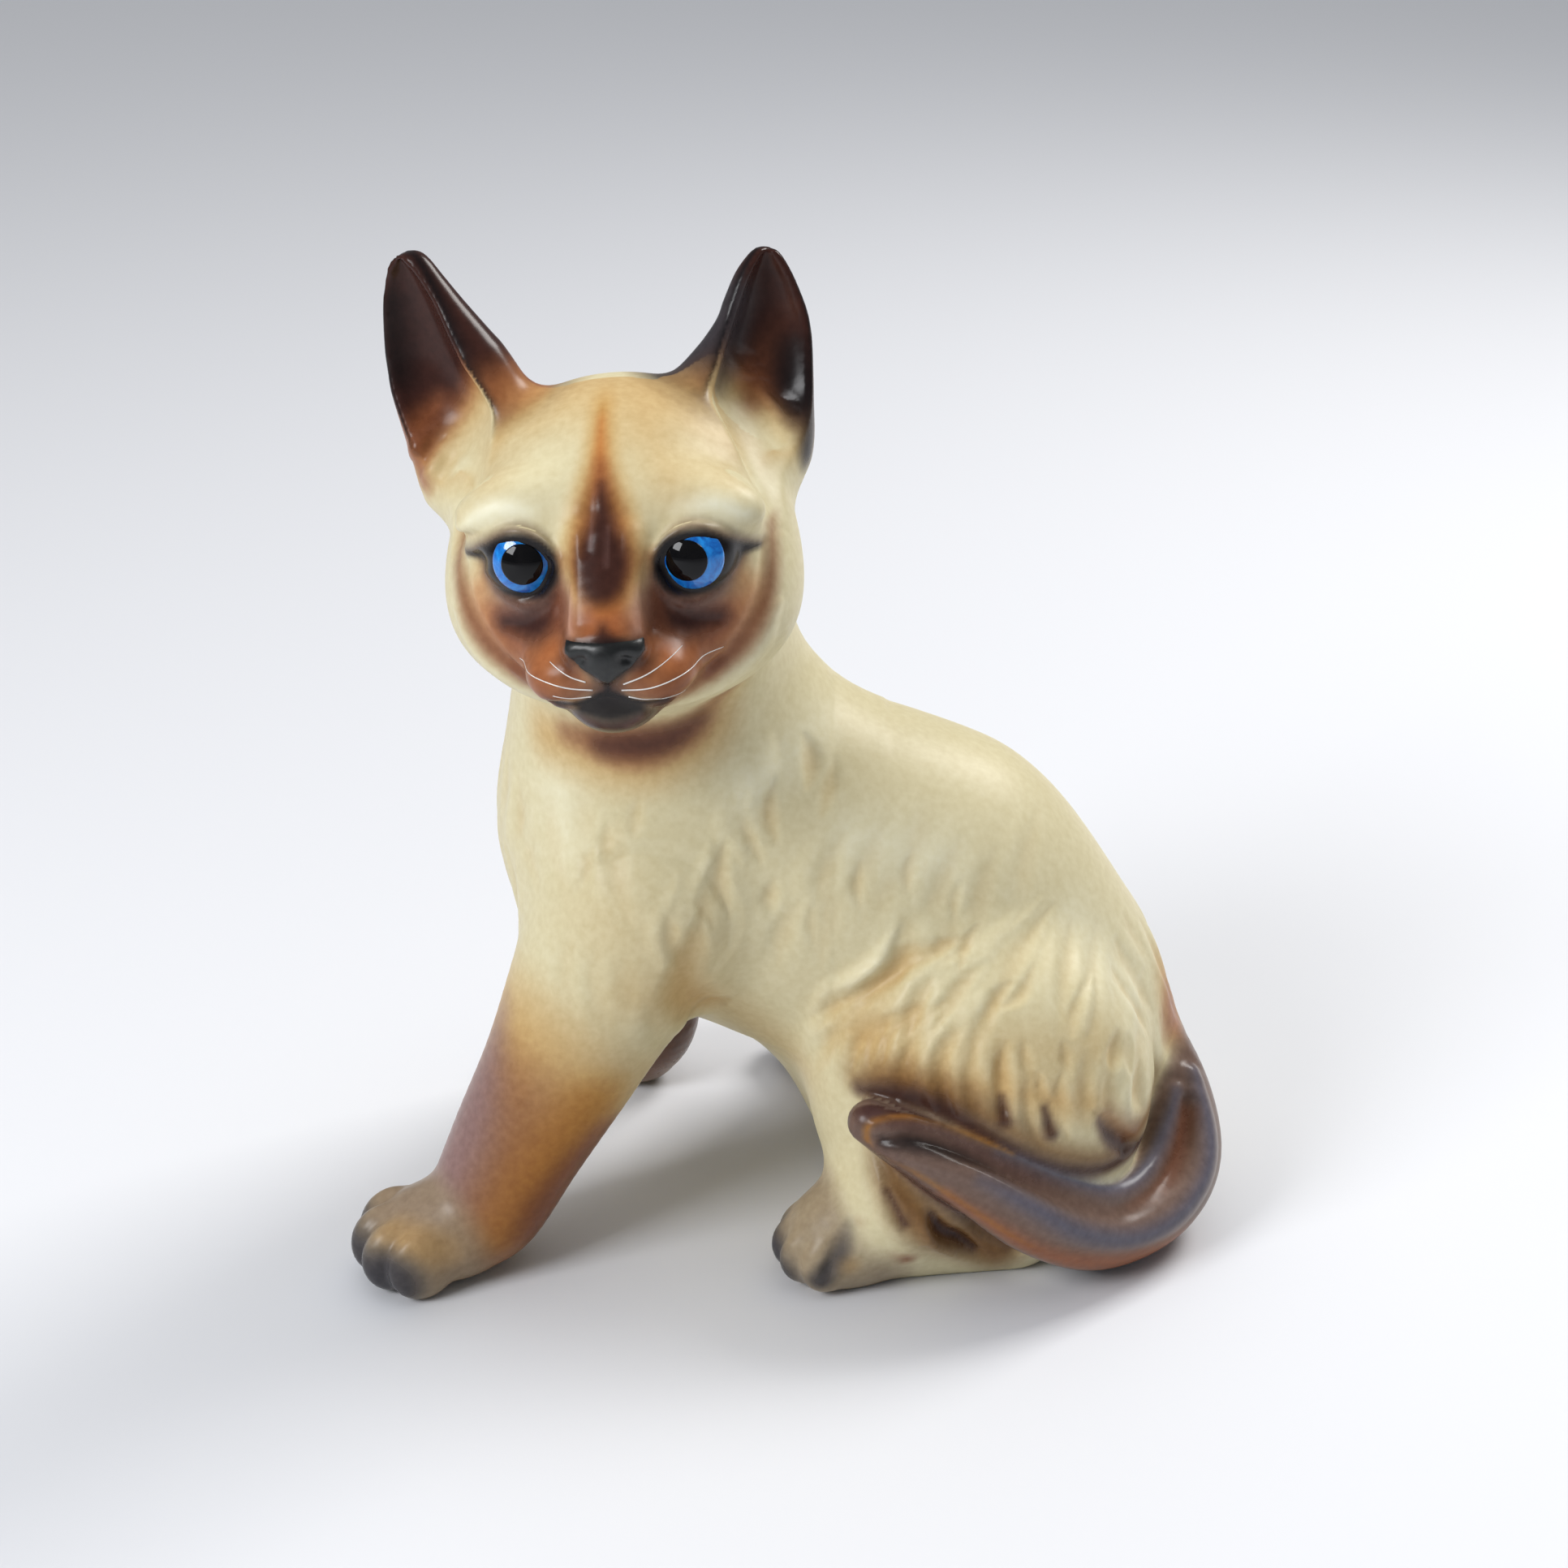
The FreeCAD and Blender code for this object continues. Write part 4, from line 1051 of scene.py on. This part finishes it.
# Where each iris and pupil sits on its eyeball: x and z in the head's frame.
GAZE = {"left": ((10.5, 3.8), (9.8, 5)), "right": ((-9.9, 3.6), (-10.1, 4.2))}
IRIS, PUPIL = 3.85, 2.55
RIM_DEPTH = 0.4                         # how deep the rim of each round is sunk into the eyeball


def dome(name, side, at, radius, lift, swell, finish):
    """A round of enamel on an eyeball: it stands proud by lift and a little more in its middle."""
    sign = 1 if side == "left" else -1
    middle = EYE * (sign, 1, 1)
    toward = np.array((at[0] - middle[0], 0, at[1] - middle[2]))
    toward[1] = -math.sqrt(EYE_RADIUS ** 2 - toward @ toward)
    aim = looking((0, 0, 0), Z, toward)
    turns = np.linspace(0, 2 * math.pi, 72, endpoint=False)
    rings = []
    for share in (0.15, 0.35, 0.55, 0.72, 0.86, 0.95, 1, 1.03):
        tilt = math.asin(share * radius / (EYE_RADIUS + lift))
        proud = EYE_RADIUS + lift + swell * (1 - share * share)
        if share > 1:
            proud -= lift + RIM_DEPTH
        ring = np.stack([np.sin(tilt) * np.cos(turns), np.full(len(turns), -np.cos(tilt)),
                         np.sin(tilt) * np.sin(turns)], 1) * proud
        rings.append(HEAD.out(middle + aim.out(ring)))
    bm = bmesh.new()
    first = add_rings(bm, rings)[0]
    top = bm.verts.new(rings[0].mean(0) * MM)
    for i in range(len(first)):
        bm.faces.new((top, first[i - 1], first[i]))
    bmesh.ops.recalc_face_normals(bm, faces=bm.faces)
    return object_of(name, bm, finish)


# Each whisker from its root outward: rows of x, z in the head's frame.
WHISKERS = {
    "left": (
        [(2.1, -9.3), (5.2, -8.1), (8.9, -6.1)],
        [(1.8, -10.2), (5.3, -9.9), (10.6, -8.5), (13.4, -8)],
        [(2.5, -11.2), (5.1, -11.7), (9.1, -11.3)]),
    "right": (
        [(-2.4, -8.9), (-4.4, -8.2), (-6.8, -6.8)],
        [(-1.7, -10.1), (-4.6, -9.7), (-8, -8.9), (-11.6, -8.4)],
        [(-2, -11.1), (-4.2, -11.2), (-6.6, -10.8)]),
}


WHISKER_RADIUS = 0.11


def whisker_mesh(name, strands, tree, finish):
    """Fine raised lines of enamel that lie on the muzzle."""
    bm = bmesh.new()
    for strand in strands:
        path = curve(strand, 10)
        line = []
        for x, z in path:
            start, way = HEAD.out((x, -60, z)), HEAD.axes[:, 1]
            line.append(np.array(tree.ray_cast(Vector(start), Vector(way))[0]))
        line = np.array(line)
        turns = np.linspace(0, 2 * math.pi, 8, endpoint=False)[:, None]
        rings = []
        for i, p in enumerate(line):
            share = i / (len(line) - 1)
            radius = WHISKER_RADIUS * (1 - 0.5 * share)
            along = unit(line[min(i + 1, len(line) - 1)] - line[max(i - 1, 0)])
            side = unit(np.cross(along, HEAD.axes[:, 1]))
            rings.append(p + radius * (np.cos(turns) * side + np.sin(turns) * np.cross(along, side)))
        rows = add_rings(bm, rings)
        bm.faces.new(rows[0])
        bm.faces.new(rows[-1][::-1])
    bmesh.ops.recalc_face_normals(bm, faces=bm.faces)
    return object_of(name, bm, finish)


# The leather's outline, clockwise, and how far back it goes, in the head's frame.
NOSE_OUTLINE = [(-4.5, -3.7), (4.8, -3.7), (5, -5), (3.2, -7), (0.4, -9), (-2.8, -7),
                (-4.7, -5)]
NOSE_BACK = -22.0


def depth_inside(points, outline):
    """How far flat points lie within a convex outline given clockwise."""
    depths = []
    for a, b in zip(outline, outline[1:] + outline[:1]):
        way = unit(np.subtract(b, a))
        depths.append((points[:, 0] - a[0]) * way[1] - (points[:, 1] - a[1]) * way[0])
    return np.min(depths, axis=0)


def nose_mesh(points, faces, normals, finish):
    """The skin of the nose lifted into a coat of its own, with its rim sunk into the clay."""
    local = HEAD.into(points)
    depth = depth_inside(local[:, ::2], NOSE_OUTLINE)
    chosen = faces[((depth > -0.5) & (local[:, 1] < NOSE_BACK))[faces].all(1)]
    used, where = np.unique(chosen, return_inverse=True)
    lift = np.clip(depth[used] / 0.6, -0.5, 0.3)[:, None] * 0.5
    bm = bmesh.new()
    verts = [bm.verts.new(p * MM) for p in points[used] + normals[used] * lift]
    for quad in where.reshape(chosen.shape):
        bm.faces.new([verts[i] for i in quad])
    return object_of("nose", bm, finish)


# ------------------------ stage, lights and camera

def build_stage():
    bpy.ops.mesh.primitive_plane_add(size=8, location=(0, 0, 0))
    floor = bpy.context.object
    floor.name = "floor"
    made, _, shader = material("floor")
    shader.inputs["Base Color"].default_value = (0.73, 0.74, 0.77, 1)
    shader.inputs["Roughness"].default_value = 0.6
    floor.data.materials.append(made)


def area_light(name, place, target, size, energy, colour=(1, 1, 1)):
    light = bpy.data.lights.new(name, "AREA")
    light.energy, light.size, light.color = energy, size, colour
    obj = bpy.data.objects.new(name, light)
    obj.location = place
    obj.rotation_euler = (Vector(target) - Vector(place)).to_track_quat("-Z", "Y").to_euler()
    bpy.context.scene.collection.objects.link(obj)
    return obj


def build_look():
    bpy.context.scene.view_settings.view_transform = "Standard"


def build_lights():
    middle = (0, 0, 0.07)
    area_light("key", (0.45, 0.32, 0.60), middle, 0.30, 4.1, (1, 0.98, 0.95))
    area_light("left", (-0.50, -0.40, 0.50), middle, 0.30, 3.8, (0.97, 0.98, 1))
    sky = bpy.data.lights.new("sky", "SUN")
    sky.energy, sky.angle = 1.15, math.radians(80)
    high = bpy.data.objects.new("sky", sky)
    high.rotation_euler = (math.radians(-12), 0, 0)
    high.visible_glossy = False
    bpy.context.scene.collection.objects.link(high)
    world = bpy.data.worlds.new("studio")
    world.use_nodes = True
    world.node_tree.nodes["Background"].inputs["Color"].default_value = (0.62, 0.65, 0.7, 1)
    world.node_tree.nodes["Background"].inputs["Strength"].default_value = 0.28
    bpy.context.scene.world = world


def build_camera():
    camera = bpy.data.cameras.new("camera")
    camera.lens, camera.sensor_width = 60, 36
    obj = bpy.data.objects.new("camera", camera)
    obj.location = (-0.0015, -0.328, 0.217)
    obj.rotation_euler = (math.radians(65), 0, 0)
    bpy.context.scene.collection.objects.link(obj)
    bpy.context.scene.camera = obj


# ------------------------ the whole

def finished_skin(clay):
    """A clay's skin with its relief: points, faces, normals and paint."""
    points, faces = clay.skin()
    skin = Skin(points, clay.slope(points))
    emboss(skin)
    moved = points + skin.normals * skin.dent[:, None]
    moved[:, 2] = np.maximum(moved[:, 2], 0)
    return moved, faces, skin.normals, paint_skin(skin)


def build_castings(finish):
    """The body, the head and the two forelegs, cut where the castings were luted together."""
    body = Clay(*BODY_BLOCK, BODY_PITCH)
    sculpt_body(body)
    sculpt_head(body)
    body.stand()
    points, faces, _, paint = finished_skin(body)
    neck, up = HEAD.out((0, 0, -NECK_DROP)), HEAD.axes[:, 2]
    whole = bmesh_of(points, faces, paint)
    cut(whole, neck, up, keep=False)
    pieces = {}
    for side in ("left", "right"):
        seat, down, ball = leg_seat(side)
        leg = whole.copy()
        cut(whole, seat, down, False, ball)
        cut(leg, seat, down, True, ball)
        pieces[side + "_foreleg"] = object_of(side + "_foreleg", leg, finish)
    pieces["body"] = object_of("body", whole, finish)
    return pieces


def build_head(finish):
    clay = Clay(*HEAD_BLOCK, HEAD_PITCH)
    sculpt_body(clay)
    sculpt_head(clay)
    points, faces, normals, paint = finished_skin(clay)
    neck, up = HEAD.out((0, 0, -NECK_DROP)), HEAD.axes[:, 2]
    head = bmesh_of(points, faces, paint)
    cut(head, neck, up, keep=True)
    return points, faces, normals, object_of("head", head, finish)


def build_figurine():
    """Every piece of the figurine, with the CAD node it stands for and its slot."""
    bisque = painted_bisque()
    blue = enamel("blue_enamel", tint(2, 84, 176), tint(30, 148, 236), 420.0)
    black = enamel("black_enamel", tint(6, 6, 8), tint(14, 13, 14), 300.0, 0.05, 0.05, 0.0, 0.25)
    leather = enamel("nose_enamel", tint(11, 12, 13), tint(24, 27, 26), 500.0, 0.42, 0.12, 0.1)
    white = enamel("white_enamel", tint(225, 220, 215), tint(245, 242, 238), 900.0, 0.2)
    rows = []
    for name, piece in build_castings(bisque).items():
        rows.append((piece, name + "_casting", "bisque"))
    points, faces, normals, head = build_head(bisque)
    rows.append((head, "head_casting", "bisque"))
    tree = BVHTree.FromPolygons(points.tolist(), faces.tolist())
    for side, (iris, pupil) in GAZE.items():
        eye = dome(side + "_eye", side, iris, IRIS, 0.10, 0.10, blue)
        rows.append((eye, side + "_eye_enamel", "eye_blue"))
        black_of_eye = dome(side + "_pupil", side, pupil, PUPIL, 0.26, 0.22, black)
        rows.append((black_of_eye, side + "_pupil_enamel", "black_enamel"))
        lines = whisker_mesh(side + "_whisker_lines", WHISKERS[side], tree, white)
        rows.append((lines, side + "_whiskers", "white_enamel"))
    rows.append((nose_mesh(points, faces, normals, leather), "nose_enamel", "black_enamel"))
    return rows


build_look()
build_stage()
build_lights()
build_camera()
for piece, cad_node, slot in build_figurine():
    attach(piece, "root")
    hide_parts(cad_node)
